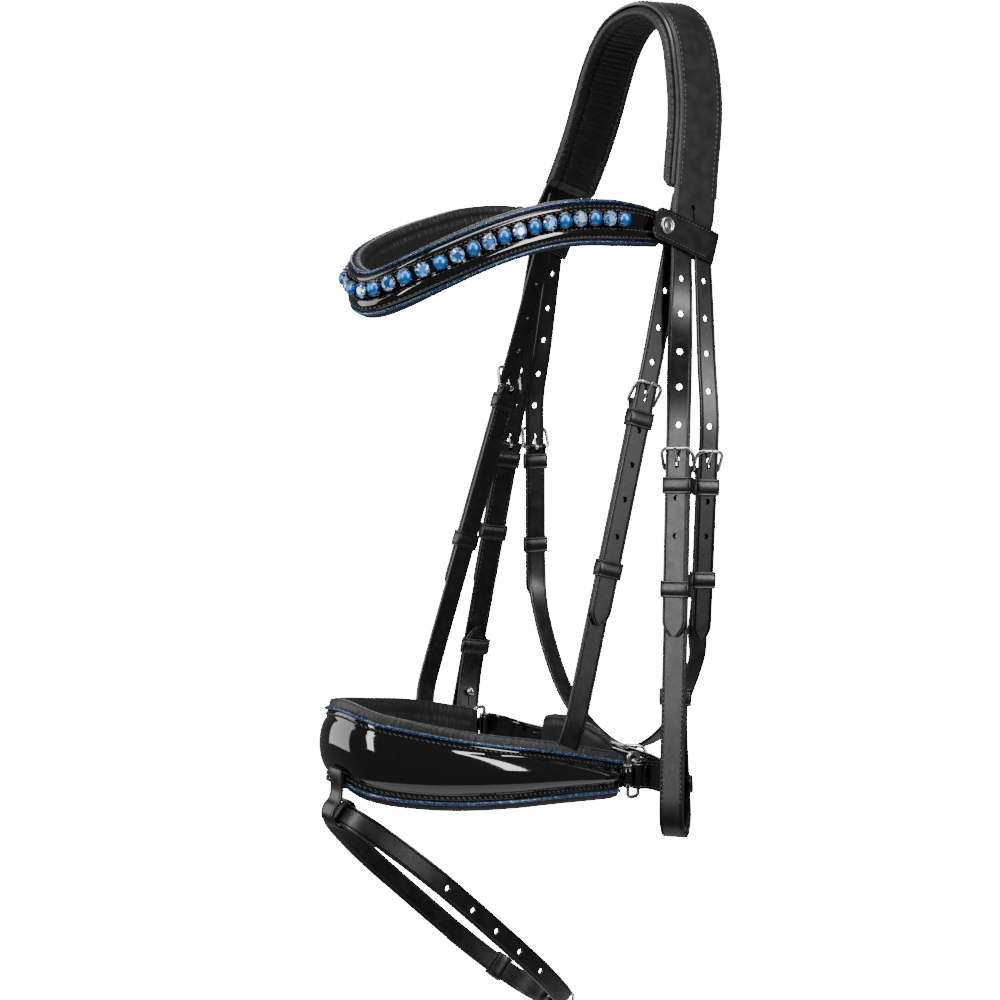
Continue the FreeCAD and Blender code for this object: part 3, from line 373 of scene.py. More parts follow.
# Stuffed pad: a squared oval whose outer face lies at base; a sewn valley runs inside each edge.
def padProfile(stations, wide, thick, base=0.0, valley=0.0, inset=8.0, sides=44, square=3.2):
    wide, thick = column(wide, stations), column(thick, stations)
    angle = np.linspace(0, 2 * math.pi, sides, endpoint=False)[None]
    cosine, sine = np.cos(angle), np.sin(angle)
    across = wide / 2 * np.sign(cosine) * np.abs(cosine) ** (2 / square)
    rise = base - thick / 2 + thick / 2 * np.sign(sine) * np.abs(sine) ** (2 / (square - 0.5))
    dip = valley * np.exp(-((np.abs(across) - (wide / 2 - inset)) / 1.1) ** 2)
    return across, np.where(sine < 0, rise + dip, rise)


def roundProfile(stations, radius, across=0.0, out=0.0, sides=12):
    angle = np.linspace(0, 2 * math.pi, sides, endpoint=False)[None]
    radius = column(radius, stations)
    return column(across, stations) + radius * np.cos(angle), column(out, stations) + radius * np.sin(angle)


# The trim layer's value, in metres, on shapes that have no edge to rub.
farFromEdge = 0.02


# Collects closed grids and makes them one mesh.
class Shell:
    def __init__(self):
        self.points, self.faces, self.strap, self.trim = [], [], [], []
        self.count = 0

    # Grid of stations by profile points, closed across; a loop is closed along as well.
    def add(self, grid, strap=None, trim=None, loop=False):
        stations, sides = grid.shape[:2]
        index = np.arange(stations * sides).reshape(stations, sides)
        rows = index if not loop else np.concatenate([index, index[:1]])
        first, second = rows[:-1], rows[1:]
        quads = np.stack([first, second, np.roll(second, -1, 1), np.roll(first, -1, 1)], -1).reshape(-1, 4)
        spot = grid.reshape(-1, 3)
        centre = spot.mean(0)
        a, b, c = (spot[quads[:, k]] - centre for k in (0, 1, 2))
        d = spot[quads[:, 3]] - centre
        volume = np.sum(a * np.cross(b, c)) + np.sum(a * np.cross(c, d))
        faces = [tuple(face) for face in (quads[:, ::-1] if volume < 0 else quads) + self.count]
        if not loop:
            ends = [index[0], index[-1][::-1]]
            if volume < 0:
                ends = [end[::-1] for end in ends]
            faces += [tuple(end + self.count) for end in ends]
        self.points.append(spot)
        self.faces += faces
        blank = np.zeros((len(spot), 2))
        self.strap.append(blank if strap is None else strap.reshape(-1, 2))
        self.trim.append(blank + farFromEdge if trim is None else trim.reshape(-1, 2))
        self.count += len(spot)
        return self

    def carry(self, route, profile):
        across, rise = profile
        grid = route.spot[:, None] + route.wide[:, None] * across[..., None] + route.out[:, None] * rise[..., None]
        low, high = across.min(1, keepdims=True), across.max(1, keepdims=True)
        middle = (rise.max(1, keepdims=True) + rise.min(1, keepdims=True)) / 2
        run = np.broadcast_to(route.run[:, None], across.shape)
        strap = np.stack([across, run], -1) * mm
        trim = np.stack([np.minimum(across - low, high - across) * mm, (rise > middle).astype(float)], -1)
        return self.add(grid, strap, trim)

    def make(self, name, materials, sharp=35, smooth=True):
        mesh = bpy.data.meshes.new(name)
        points = np.concatenate(self.points) * mm
        mesh.from_pydata(points, [], self.faces)
        corners = np.zeros(len(mesh.loops), int)
        mesh.loops.foreach_get("vertex_index", corners)
        for layerName, parts in (("strap", self.strap), ("trim", self.trim)):
            layer = mesh.uv_layers.new(name=layerName)
            layer.data.foreach_set("uv", np.concatenate(parts)[corners].astype(np.float32).ravel())
        for material in materials:
            mesh.materials.append(paints[material])
        mesh.polygons.foreach_set("use_smooth", [smooth] * len(mesh.polygons))
        mesh.update()
        if smooth:
            mesh.set_sharp_from_angle(angle=math.radians(sharp))
        piece = bpy.data.objects.new(name, mesh)
        bpy.context.scene.collection.objects.link(piece)
        return piece


# Cut the cutter's shells out of a piece and keep its layers.
def carve(piece, cutter):
    change = piece.modifiers.new("cut", "BOOLEAN")
    change.operation, change.solver, change.object = "DIFFERENCE", "EXACT", cutter
    graph = bpy.context.evaluated_depsgraph_get()
    mesh = bpy.data.meshes.new_from_object(piece.evaluated_get(graph), preserve_all_data_layers=True, depsgraph=graph)
    piece.modifiers.clear()
    old, piece.data = piece.data, mesh
    mesh.name = piece.name
    bpy.data.meshes.remove(old)
    bpy.data.objects.remove(cutter)
    mesh.set_sharp_from_angle(angle=math.radians(35))
    return piece


# Round or long punches: a circle, drawn out along the strap by stretch, pushed through both ways.
def drill(places, outs, radius, reach=6.0, stretch=0.0, along=None):
    shell = Shell()
    angle = np.linspace(0, 2 * math.pi, 20, endpoint=False)
    for index, (place, out) in enumerate(zip(places, outs)):
        out = unit(out)
        tall = unit(along[index]) if along is not None else unit(np.cross(out, [0.3, 0.9, 0.1]))
        tall = unit(tall - out * np.dot(tall, out))
        side = np.cross(tall, out)
        long = radius * np.sin(angle) + stretch * np.sign(np.sin(angle))
        ring = np.multiply.outer(radius * np.cos(angle), side) + np.multiply.outer(long, tall)
        shell.add(np.stack([place + ring - out * reach, place + ring + out * reach]))
    return shell.make("cutter", [])


thread = {"pitch": 3.3, "long": 2.5, "radius": 0.42, "sunk": 0.12}


# Rows of stitches on a route: each is a small ellipsoid lying along the row, half sunk in the leather.
# A row is its distance across and out from the route, as numbers or as one value for each station.
# An end below zero is counted back from the route's own end.
def stitch(name, route, rows, start, end, pitch=thread["pitch"], tilt=0.0):
    end = end if end > 0 else route.run[-1] + end
    run = np.arange(start + pitch / 2, end, pitch)
    place, along, wide, out = route.frames(run)
    ring = np.linspace(0, 2 * math.pi, 6, endpoint=False)
    polar = np.linspace(0, math.pi, 6)[1:-1]
    local = np.stack([np.repeat(np.cos(polar), 6) * thread["long"] / 2,
                      np.outer(np.sin(polar), np.cos(ring)).ravel() * thread["radius"],
                      np.outer(np.sin(polar), np.sin(ring)).ravel() * thread["radius"]], -1)
    tips = np.array([[thread["long"] / 2, 0, 0], [-thread["long"] / 2, 0, 0]])
    local = np.concatenate([local, tips])
    lean = math.radians(tilt)
    local[:, 0], local[:, 1] = (local[:, 0] * math.cos(lean) - local[:, 1] * math.sin(lean),
                                local[:, 0] * math.sin(lean) + local[:, 1] * math.cos(lean))
    faces = []
    for level in range(3):
        for side in range(6):
            nextSide = (side + 1) % 6
            faces.append((level * 6 + side, level * 6 + nextSide, (level + 1) * 6 + nextSide, (level + 1) * 6 + side))
    faces += [((side + 1) % 6, side, 24) for side in range(6)]
    faces += [(18 + side, 18 + (side + 1) % 6, 25) for side in range(6)]
    shell = Shell()
    for across, height in rows:
        across = np.interp(run, route.run, np.broadcast_to(across, route.run.shape))
        height = np.interp(run, route.run, np.broadcast_to(height, route.run.shape))
        centre = place + wide * across[:, None] + out * (height + thread["sunk"])[:, None]
        spots = (centre[:, None] + along[:, None] * local[None, :, 0:1] + wide[:, None] * local[None, :, 1:2]
                 + out[:, None] * local[None, :, 2:3])
        corners = spots[0][[face[:3] for face in faces]] - centre[0]
        if np.sum(corners[:, 0] * np.cross(corners[:, 1], corners[:, 2])) < 0:
            faces = [face[::-1] for face in faces]
        for index in range(len(run)):
            shell.faces += [tuple(corner + shell.count + index * 26 for corner in face) for face in faces]
        shell.points.append(spots.reshape(-1, 3))
        shell.strap.append(np.zeros((len(run) * 26, 2)))
        shell.trim.append(np.zeros((len(run) * 26, 2)) + farFromEdge)
        shell.count += len(run) * 26
    return shell.make(name, ["thread"], sharp=80)


# Give pieces their body and hide the CAD nodes that they stand for; a piece given a blend only has its transform baked
# in.
def settle(pieces, body, replaces=(), blend=None):
    for index, piece in enumerate(pieces if isinstance(pieces, list) else [pieces]):
        if blend:
            [value * mm for value in blend[1]]
            [value * mm for value in blend[2]]
            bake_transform(piece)
        else:
            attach(piece, body)
        if index == 0 and replaces:
            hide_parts(*replaces)


# Points round a rectangle with round corners, and the outward direction at each.
def roundedLoop(left, right, low, high, softs, arc=7, gap=2.0):
    corners = [(right, high, -1, -1), (left, high, 1, -1), (left, low, 1, 1), (right, low, -1, 1)]
    spots, outs = [], []
    for index, (x, y, sideX, sideY) in enumerate(corners):
        soft = softs[index]
        angle = np.linspace(0, math.pi / 2, arc) + index * math.pi / 2
        outs.append(np.stack([np.cos(angle), np.sin(angle)], -1))
        spots.append(np.array([x + sideX * soft, y + sideY * soft]) + soft * outs[-1])
    allSpots, allOuts = [], []
    for index in range(4):
        nextSpot, nextOut = spots[(index + 1) % 4][0], outs[(index + 1) % 4][0]
        count = max(1, int(np.linalg.norm(nextSpot - spots[index][-1]) / gap))
        share = np.arange(1, count)[:, None] / count
        allSpots += [spots[index], spots[index][-1] * (1 - share) + nextSpot * share]
        allOuts += [outs[index], np.repeat(nextOut[None], count - 1, 0)]
    return np.concatenate(allSpots), np.concatenate(allOuts)


# A turned shape: radius and height pairs from one pole to the other, swept round the axis.
def revolve(shell, base, axis, profile, sides=28):
    axis = unit(axis)
    side = unit(np.cross(axis, [0.31, 0.87, 0.39]))
    other = np.cross(axis, side)
    angle = np.linspace(0, 2 * math.pi, sides, endpoint=False)
    ring = np.multiply.outer(np.cos(angle), side) + np.multiply.outer(np.sin(angle), other)
    profile = np.array(profile, float)
    grid = base + profile[:, 0, None, None] * ring[None] + profile[:, 1, None, None] * axis
    return shell.add(grid)


# One strap: its profile carried along a route.
def makeStrap(name, route, wide, low, high, soft=0.55, dome=0.0, paint="leather"):
    return Shell().carry(route, strapProfile(len(route.run), wide, low, high, soft, dome)).make(name, [paint])


# buckles, keepers and folds that every strap uses
shared = {"billet": 2.0, "strap": 2.4, "gap": 0.25, "wire": 1.12, "sideGap": 0.9, "tall": 14.0, "tilt": 29.0,
          "play": 0.35, "keeperTall": 10.0, "keeperWall": 1.05, "hole": 1.8, "used": 4.5, "usedRadius": 1.25,
          "usedStretch": 2.35, "slotWide": 3.2, "strapSoft": 0.6}
# heights out of a billet's back: the buckle's bar, the strap's inner face and the strap's middle
barOut = -(shared["gap"] + 1.1 + 0.05 + 1.2)
under = -shared["gap"] - shared["strap"]
middle = -shared["gap"] - shared["strap"] / 2


# Arched wire loop, its foot being the bar, leant outwards about the bar.
def makeBuckle(name, seat, wide):
    half = wide / 2 + shared["sideGap"] + shared["wire"]
    spots, outs = roundedLoop(-half, half, 0, shared["tall"], (4.6, 4.6, 1.6, 1.6), gap=1.5)
    lean = math.radians(shared["tilt"])
    rising = seat.y * math.cos(lean) + seat.z * math.sin(lean)
    normal = seat.z * math.cos(lean) - seat.y * math.sin(lean)
    angle = np.linspace(0, 2 * math.pi, 14, endpoint=False)
    base = seat.at(0, 0, barOut)
    centre = base + spots[:, :1] * seat.x + spots[:, 1:] * rising
    away = outs[:, :1] * seat.x + outs[:, 1:] * rising
    grid = (centre[:, None] + away[:, None] * (shared["wire"] * np.cos(angle))[None, :, None]
            + normal * (shared["wire"] * np.sin(angle))[None, :, None])
    return Shell().add(grid, loop=True).make(name, ["steel"], sharp=60)


# A flattened eye round the bar and a pin that tapers to a round tip.
def makeTongue(name, seat):
    base = seat.at(0, 0, barOut)
    angle = np.linspace(0, 2 * math.pi, 24, endpoint=False)
    ring = np.multiply.outer(np.cos(angle), seat.y) + np.multiply.outer(np.sin(angle), seat.z)
    a, b = strapProfile(24, 2.3, 1.16, 2.02, 0.3)
    shell = Shell().add(base + ring[:, None] * b[..., None] + seat.x * a[..., None], loop=True)
    lean = math.radians(37.9)
    toward = seat.y * math.cos(lean) + seat.z * math.sin(lean)
    side = np.cross(toward, seat.x)
    reach = np.array([1.5, 3, 8, 12, 14.4, 15.4, 16.0, 16.25])
    wide = np.array([1.0, 0.95, 0.9, 0.86, 0.8, 0.7, 0.42, 0.05])
    turned = np.linspace(0, 2 * math.pi, 12, endpoint=False)
    ring = np.multiply.outer(np.cos(turned), seat.x) + np.multiply.outer(np.sin(turned), side * 0.9)
    shell.add(base + reach[:, None, None] * toward + wide[:, None, None] * ring[None])
    return shell.make(name, ["steel"], sharp=50)


# Keeper or runner: a thin leather band closed round the straps, its rims softly rounded.
def makeLoop(name, seat, wide, inner, outer, rise):
    tall, wall = shared["keeperTall"], shared["keeperWall"]
    half = wide / 2 + shared["play"] + wall / 2
    spots, outs = roundedLoop(-half, half, inner - shared["play"] - wall / 2, outer + shared["play"] + wall / 2,
                              (1.1, 1.1, 1.1, 1.1), arc=6, gap=2.2)
    a, b = strapProfile(len(spots), tall, -wall / 2, wall / 2, 0.4, dome=0.12)
    centre = spots[:, None, :] + outs[:, None, :] * b[..., None]
    grid = seat.at(centre[..., 0], rise + a, centre[..., 1])
    run = np.cumsum(np.linalg.norm(np.roll(spots, 1, 0) - spots, axis=1))
    strap = np.stack([a, np.broadcast_to(run[:, None], a.shape)], -1) * mm
    trim = np.stack([(tall / 2 - np.abs(a)) * mm, (b > 0).astype(float)], -1)
    return Shell().add(grid, strap, trim, loop=True).make(name, ["leather"])


# Slot for the tongue's eye, cut through a strap from one height up the seat to another.
def cutSlot(piece, seat, high, low):
    half = shared["slotWide"] / 2
    block = np.array([(-half, high), (half, high), (half, low), (-half, low)])
    cutter = Shell().add(np.stack([seat.at(block[:, 0], block[:, 1], level) for level in (barOut - 3.4, 1.2)]))
    return carve(piece, cutter.make("cutter", []))


# Long punch that the tongue goes through.
def punchUsed(piece, place, out, along, reach=6.0):
    return carve(piece, drill(place, out, shared["usedRadius"], reach, shared["usedStretch"], along))


# Strap end folded round the buckle's bar, with a slot for the tongue's eye.
def makeFold(name, seat, wide, tail=13.0):
    turned = [(-tail, -0.95), (-7, -0.95), (-3, -0.9), (-0.4, -0.85)]
    for degrees in (60, 30, 0, -30, -60, -90, -120):
        turned.append((1.78 * math.cos(math.radians(degrees)), barOut + 1.78 * math.sin(math.radians(degrees))))
    turned += [(-3.6, -3.35), (-7, -2.15), (-tail, -2.05)]
    route = Route([seat.at(0, rise, out) for rise, out in turned], seat.x, 0.9)
    return cutSlot(makeStrap(name, route, wide, -0.55, 0.55, 0.3), seat, 3.4, -3.2)


# Widths of a strap whose end is cut to a round point.
def pointed(route, wide, narrow=4.5, long=9.0, atEnd=False):
    run = route.run[-1] - route.run if atEnd else route.run
    return narrow + (wide - narrow) * np.sin(math.pi / 2 * np.clip(run / long, 0, 1)) ** 0.9


# Widths of a strap whose end has round corners.
def roundedEnd(route, wide, soft):
    gap = np.clip(soft - (route.run[-1] - route.run), 0, soft)
    return wide - 2 * (soft - np.sqrt(np.maximum(soft * soft - gap * gap, 0)))


def seatOf(side, bar, upward, yaw):
    return Seat(mirrored(bar, side), mirrored(upward, side), facing(side, yaw))


hang = {
    "cheek": {"bar": (80.6, -48.2, -269), "up": {near: (-0.122, 0.127, 0.984), far: (-0.122, 0.127, 0.984)},
              "yaw": {near: 62, far: -15}, "wide": 15.0, "root": (63.2, -32.2, -119), "tail": 98.5,
              "above": 5, "below": 2, "pitch": 21.7},
    "throat": {"bar": (81.4, -25.6, -272), "up": {near: (-0.03, 0.066, 1), far: (-0.03, -0.03, 1)},
               "yaw": {near: 20, far: -20}, "wide": 12.5, "root": (63.9, -18, -119), "tail": 101.0,
               "above": 5, "below": 2, "pitch": 21.7},
    "nose": {"bar": (64.2, -62.0, -230.6), "up": {near: (-0.051, 0.301, 0.952), far: (-0.051, 0.301, 0.952)},
             "yaw": {near: 10, far: 0}, "wide": 14.0, "root": (56.6, -25, -104), "tail": 133.0,
             "above": 3, "below": 5, "pitch": 21.0},
}
seats = {(kind, side): seatOf(side, plan["bar"], plan["up"][side], plan["yaw"][side])
         for kind, plan in hang.items() for side in (near, far)}


# Punched strap from under the browband tab to its point, straight through the buckle.
def makeBillet(kind, side, name):
    plan, seat = hang[kind], seats[kind, side]
    root, tail, wide = mirrored(plan["root"], side), plan["tail"], plan["wide"]
    top = seat.at(0, 26)
    points = [seat.at(0, rise) for rise in (-tail, 8 - tail, -0.7 * tail, -0.45 * tail, -0.2 * tail, 0, 14)] + [top]
    points += [top + (root - top) * share for share in (0.25, 0.5, 0.75, 0.94)]
    lower, upper = facing(side, plan["yaw"][side]), facing(side, 4)
    across = [lower] * 8 + [lower * (1 - share) + upper * share for share in (0.3, 0.65, 1, 1)]
    route = Route(points, across)
    piece = makeStrap(name, route, pointed(route, wide), 0, shared["billet"])
    rises = [shared["used"] + plan["pitch"] * count for count in range(-plan["below"], plan["above"] + 1) if count]
    spots = [seat.at(0, rise) if rise < 20 else top + unit(root - top) * (rise - 26) for rise in rises]
    place, along, _, out = route.frames([route.nearest(spot) for spot in spots])
    carve(piece, drill(place, out, shared["hole"]))
    used = route.frames([route.nearest(seat.at(0, shared["used"]))])
    return punchUsed(piece, used[0], used[3], used[1])


# Buckle, tongue and folded end at the top of one hanging strap; label is the CAD's name for the strap.
def makeSet(kind, side, body, label, buckleNode):
    seat, wide = seats[kind, side], hang[kind]["wide"]
    name, tongue = sideNames[side] + kind.capitalize(), f"{sideNames[side]}_{label}_tongue"
    settle(makeBuckle(name + "Buckle", seat, wide), body, [buckleNode])
    settle(makeTongue(name + "Tongue", seat), tongue + "_part", [tongue])
    settle(makeFold(name + "Fold", seat, wide), body)


# crown
crown = {
    "half": [(60.8, -23.5, -121), (57.5, -19, -108), (51.5, -11.5, -83), (46, -5, -55), (41, -2.5, -36),
             (35.5, -0.5, -21), (26, 1.5, -7), (14, 3, 0.5)],
    "top": (0, 3.5, 3), "wide": [32, 31.5, 32, 33, 33, 32, 31.5, 31], "topWide": 31, "foot": (62.6, -26.3, -133),
    "footWide": 28.6, "lift": 2.3, "thick": 2.6, "padThick": 8.0, "padMore": 8.0, "cord": 1.0, "seamInset": 3.5,
    "keyhole": (64.5, -24.4, -117), "keyholeRadius": 1.9, "keyholeDeep": 1.3, "slit": 0.84,
    "slitLine": [(64.3, -24.4, -117), (64.6, -24.7, -122), (65, -25.3, -129), (65.5, -25.9, -137)],
    "creaseSeed": 3, "creaseDeep": 0.22, "slipWide": 14,
}
crownHalf = [np.array(point, float) for point in crown["half"]]
crownPoints = crownHalf + [np.array(crown["top"], float)] + [mirrored(point, far) for point in crownHalf[::-1]]
crownWides = crown["wide"] + [crown["topWide"]] + crown["wide"][::-1]
rearward = np.array([0.0, 1.0, 0.0])
feet = [np.array(crown["foot"], float), mirrored(crown["foot"], far)]
route = Route(feet[:1] + crownPoints + feet[1:], rearward)
wides = route.spread([crown["footWide"]] + crownWides + [crown["footWide"]])
leatherTop = crown["lift"] + crown["thick"]
piece = makeStrap("crownStrap", route, wides, crown["lift"], leatherTop, 0.9, 0.25, "plain")
for side in (near, far):
    keyhole = mirrored(crown["keyhole"], side)
    carve(piece, drill([keyhole], [(side, 0, 0)], crown["keyholeRadius"], reach=crown["keyholeDeep"]))
    line = Route([mirrored(point, side) for point in crown["slitLine"]], np.array([1.0, 0, 0]), 3)
    slit = Shell().carry(line, strapProfile(len(line.run), 12, -crown["slit"] / 2, crown["slit"] / 2, 0.1))
    carve(piece, slit.make("cutter", []))
settle(piece, "headpiece", ["crown_leather"])
seam = wides / 2 - crown["seamInset"]
settle(stitch("crownThread", route, [(seam, leatherTop), (-seam, leatherTop)], 26, -26), "headpiece")

padRoute = Route(crownPoints[1:-1], rearward, 0.7)
padEnds = np.sqrt(np.clip(np.minimum(padRoute.run, padRoute.run[-1] - padRoute.run) / 5.0, 0.12, 1))
padWides = padRoute.spread(crownWides[1:-1]) + crown["padMore"]
a, b = padProfile(len(padRoute.run), padWides - 3 * (1 - padEnds), crown["padThick"] * (0.35 + 0.65 * padEnds),
                  base=crown["lift"] - 0.4, valley=1.7, inset=7.0, sides=96, square=3.4)
b = np.where(b > crown["lift"] - 1.2, np.minimum(b, 1.7), b)
# Fine creases across the lining's inner face: two waves along the run whose phase drifts with noise,
# strongest midway.
drift = np.cumsum(np.random.default_rng(crown["creaseSeed"]).normal(0, 0.13, len(padRoute.run)))
crease = np.sin(2 * math.pi * padRoute.run / 3.9 + drift) + 0.6 * np.sin(2 * math.pi * padRoute.run / 2.7 - 2 * drift)
middleShare = np.clip(1 - np.abs(a) / column(padWides / 2, len(padRoute.run)), 0, 1) ** 0.5
b = np.where(b < -1.5, b + crown["creaseDeep"] * column(crease, len(padRoute.run)) * middleShare, b)
piece = Shell().carry(padRoute, (a, b)).make("crownPad", ["lining"], sharp=70)
settle(piece, "headpiece", ["crown_padding"])
shell = Shell()
cordAcross = padRoute.spread(crownWides[1:-1]) / 2 + 1.0
for edge in (-1, 1):
    shell.carry(padRoute, roundProfile(len(padRoute.run), crown["cord"], edge * cordAcross, crown["lift"] + 0.6, 10))
settle(shell.make("crownCord", ["cord"]), "headpiece", ["crown_piping"])
inset = padWides / 2 - 7.5
settle(stitch("crownPadThread", padRoute, [(inset, -4.6), (-inset, -4.6)], 8, -8), "headpiece")
a, b = strapProfile(len(padRoute.run), crown["slipWide"], 0.25, 2.1)
slip = Shell().carry(padRoute, (a - crown["slipWide"] / 2, b))
settle(slip.make("slipheadArch", ["leather"]), "headpiece", ["sliphead_arch"])
print("crown made")

# browband
browband = {
    "half": [(61.9, -48, -128.5), (63.5, -63, -126), (63, -82, -124), (60.5, -102, -123.5), (57, -122, -125),
             (53, -142, -129), (48.5, -162, -135), (42.5, -182, -143), (33, -199, -151.5), (18, -210, -159.5)],
    "front": (0, -213.5, -163.5), "farDip": [0, 1, 4, 6, 8, 8, 7, 5, 3, 1], "padWide": 27.0, "padThick": 7.0,
    "patentWide": 20.5, "offset": -0.6, "channel": 1.0, "piping": 0.98, "stones": 35, "pitch": 9.8,
    "stone": 4.15, "seatOut": 3.05, "settingTall": 1.6, "tintSeed": 7, "pipingAcross": 11.6, "pipingOut": 0.7,
    "stoneShift": 1.2,
}
half = [np.array(point, float) for point in browband["half"]]
points = half + [np.array(browband["front"], float)] + [
    mirrored(point, far) - up * dipped for point, dipped in list(zip(half, browband["farDip"]))[::-1]]
brow = Route(points, up)
count = len(brow.run)
ease = brow.spread([0.75, 0.9] + [1] * 17 + [0.9, 0.75])
thin = brow.spread([0.35, 0.85] + [1] * 17 + [0.85, 0.35])
ends = np.sqrt(np.clip(np.minimum(brow.run, brow.run[-1] - brow.run) / 4.0, 0.1, 1))
a, b = padProfile(count, browband["padWide"] * ease, browband["padThick"] * (0.4 + 0.6 * ends), base=0.35, valley=1.0,
                  inset=6.0, sides=56, square=3.4)
piece = Shell().carry(brow, (a - 1.2, np.minimum(b, 0.1))).make("browbandPad", ["lining"], sharp=70)
settle(piece, "headpiece", ["browband_padding"])


# Patent strip: a flat channel for the stones between two rounded ridges, dropping to a thin rim.
def raisedProfile(stations, wide, offset, channel, share, low=0.75, high=2.95, samples=41):
    half = column(wide, stations) / 2
    line = np.linspace(-1, 1, samples)[None]
    across = half * line
    inner = np.abs(across + offset - channel) - 4.1
    room = np.where(across + offset > channel, half + offset - channel, half - offset + channel) - 4.1
    part = np.clip(inner / room, 0, 1)
    rise = low + (high - low) * np.sin(math.pi * part ** 0.85) ** 0.75
    rise = 0.1 + (rise - 0.1) * column(share, stations)
    top = (across + offset, rise)
    back = (np.concatenate([half, -half], 1) + offset, np.full((stations, 2), 0.05))
    return (np.concatenate([top[0], back[0]], 1)[:, ::-1], np.concatenate([top[1], back[1]], 1)[:, ::-1])


strip = Shell().carry(brow, raisedProfile(count, browband["patentWide"] * ease, browband["offset"],
                                          browband["channel"], thin))
settle(strip.make("browbandPatent", ["patent"], sharp=60), "headpiece", ["browband_patent"])
shell = Shell()
for edge in (-1, 1):
    shell.carry(brow, roundProfile(count, browband["piping"] * ease, edge * browband["pipingAcross"] * ease
                                   + browband["offset"], browband["pipingOut"] * thin))
settle(shell.make("browbandPiping", ["glitter"], sharp=80), "headpiece", ["browband_piping"])
rows = [(8.0 * ease, 0.1 + 2.2 * thin), (-9.2 * ease, 0.1 + 2.15 * thin), (5.9 * ease, 0.1 + 2.45 * thin),
        (-4.6 * ease, 0.1 + 2.0 * thin)]
settle(stitch("browbandThread", brow, rows, 8, -8, pitch=3.0), "headpiece")

run = brow.run[-1] / 2 + (np.arange(browband["stones"]) - (browband["stones"] - 1) / 2) * browband["pitch"]
places, alongs, wideOnes, outs = brow.frames(run)
cups, pearls, gems = Shell(), Shell(), Shell()
facetTintsAndSparkle = []
random = np.random.default_rng(browband["tintSeed"])
radius, tall = browband["stone"], browband["settingTall"]


# Round cut stone: an eight-sided table, two rows of facets, a sixteen-sided girdle and a flat back.
# The second row leaves eight small gaps above the girdle, so the stone's mesh is open there.
def cutStone(shell, base, along, side, axis):
    def ring(count, size, height, shift):
        angle = (np.arange(count) + shift) * 2 * math.pi / count
        return base + size * (np.multiply.outer(np.cos(angle), along) + np.multiply.outer(np.sin(angle), side)) + (
            height * axis)
    rings = [ring(8, 0.5 * radius, 1.75, 0), ring(8, 0.8 * radius, 1.3, 0.5), ring(16, radius, 0.45, 0.5),
             ring(16, radius * 0.97, 0.0, 0.5)]
    start = shell.count
    faces = [tuple(range(8))]
    for index in range(8):
        after = (index + 1) % 8
        first, second = 16 + 2 * index, 17 + 2 * index
        faces += [(index, 8 + index, after), (8 + index, first, second)]
        faces += [(after, 8 + index, second), (after, second, 8 + after)]
    for index in range(16):
        after = (index + 1) % 16
        faces.append((16 + index, 32 + index, 32 + after, 16 + after))
    faces.append(tuple(range(47, 31, -1)))
    shell.points.append(np.concatenate(rings))
    shell.faces += [tuple(corner + start for corner in face) for face in faces]
    shell.strap.append(np.zeros((48, 2)))
    shell.trim.append(np.zeros((48, 2)))
    shell.count += 48
    facetTintsAndSparkle.extend(random.beta(0.9, 0.75, len(faces)))


cup = [(0.01, 0.6), (3.2, 0.6), (3.8, 1.6), (4.1, 3.3), (4.5, 4.45), (4.5, 4.65), (4.1, 4.7), (3.3, 4.6), (0.01, 4.5)]
dome = np.radians(np.linspace(0, 90, 12))
pearl = np.concatenate([[[0.01, -0.3], [3.9, -0.3]],
                        np.stack([np.maximum(radius * np.cos(dome), 0.01), 0.9 * radius * np.sin(dome)], -1)])
for index in range(browband["stones"]):
    place, along, wide, out = (part[index] for part in (places, alongs, wideOnes, outs))
    foot = place + wide * browband["stoneShift"]
    revolve(cups, foot, out, cup, 20)
    for quarter in range(4):
        angle = (quarter + 0.5) * math.pi / 2
        arm = along * math.cos(angle) + wide * math.sin(angle)
        claw = foot + arm * 4.3 + out * 5.3
        axis = unit(out * 0.85 - arm * 0.5)
        revolve(cups, claw, axis, [(0.01, -1.5), (0.55, -1.3), (0.6, 0), (0.5, 0.9), (0.01, 1.25)], 8)
    top = foot + out * (browband["seatOut"] + tall + 0.05)
    if index % 2:
        cutStone(gems, top, along, wide, out)
    else:
        revolve(pearls, top, out, pearl, 24)
settle(cups.make("stoneCups", ["darkMetal"], sharp=50), "headpiece", ["stone_settings"])
settle(pearls.make("pearlStones", ["pearl"], sharp=70), "headpiece", ["pearls"])
stones = gems.make("crystalStones", ["crystal"], smooth=False)
stones.data.attributes.new("facet", "FLOAT", "FACE").data.foreach_set("value", np.array(facetTintsAndSparkle, np.float32))
settle(stones, "headpiece", ["crystals"])
print("browband made")

# browband tabs
tab = {"foot": (64.3, -33, -133), "slope": 15.5, "wide": 19.0, "cap": -15.8, "front": -24.8}


# X runs rearwards along the tab, Y across it, Z out of its face.
def tabSeat(side):
    upright = Seat(mirrored(tab["foot"], side), mirrored((-0.11, 0.1, 0.99), side), np.array([0.04 * side, 1.0, 0.0]))
    slope = math.radians(tab["slope"])
    made = Seat(upright.base, upright.y, upright.x)
    made.x = upright.x * math.cos(slope) - upright.y * math.sin(slope)
    made.y = upright.y * math.cos(slope) + upright.x * math.sin(slope)
    made.z = np.cross(made.x, made.y)
    if made.z[0] * side < 0:
        made.y, made.z = -made.y, -made.z
    return made


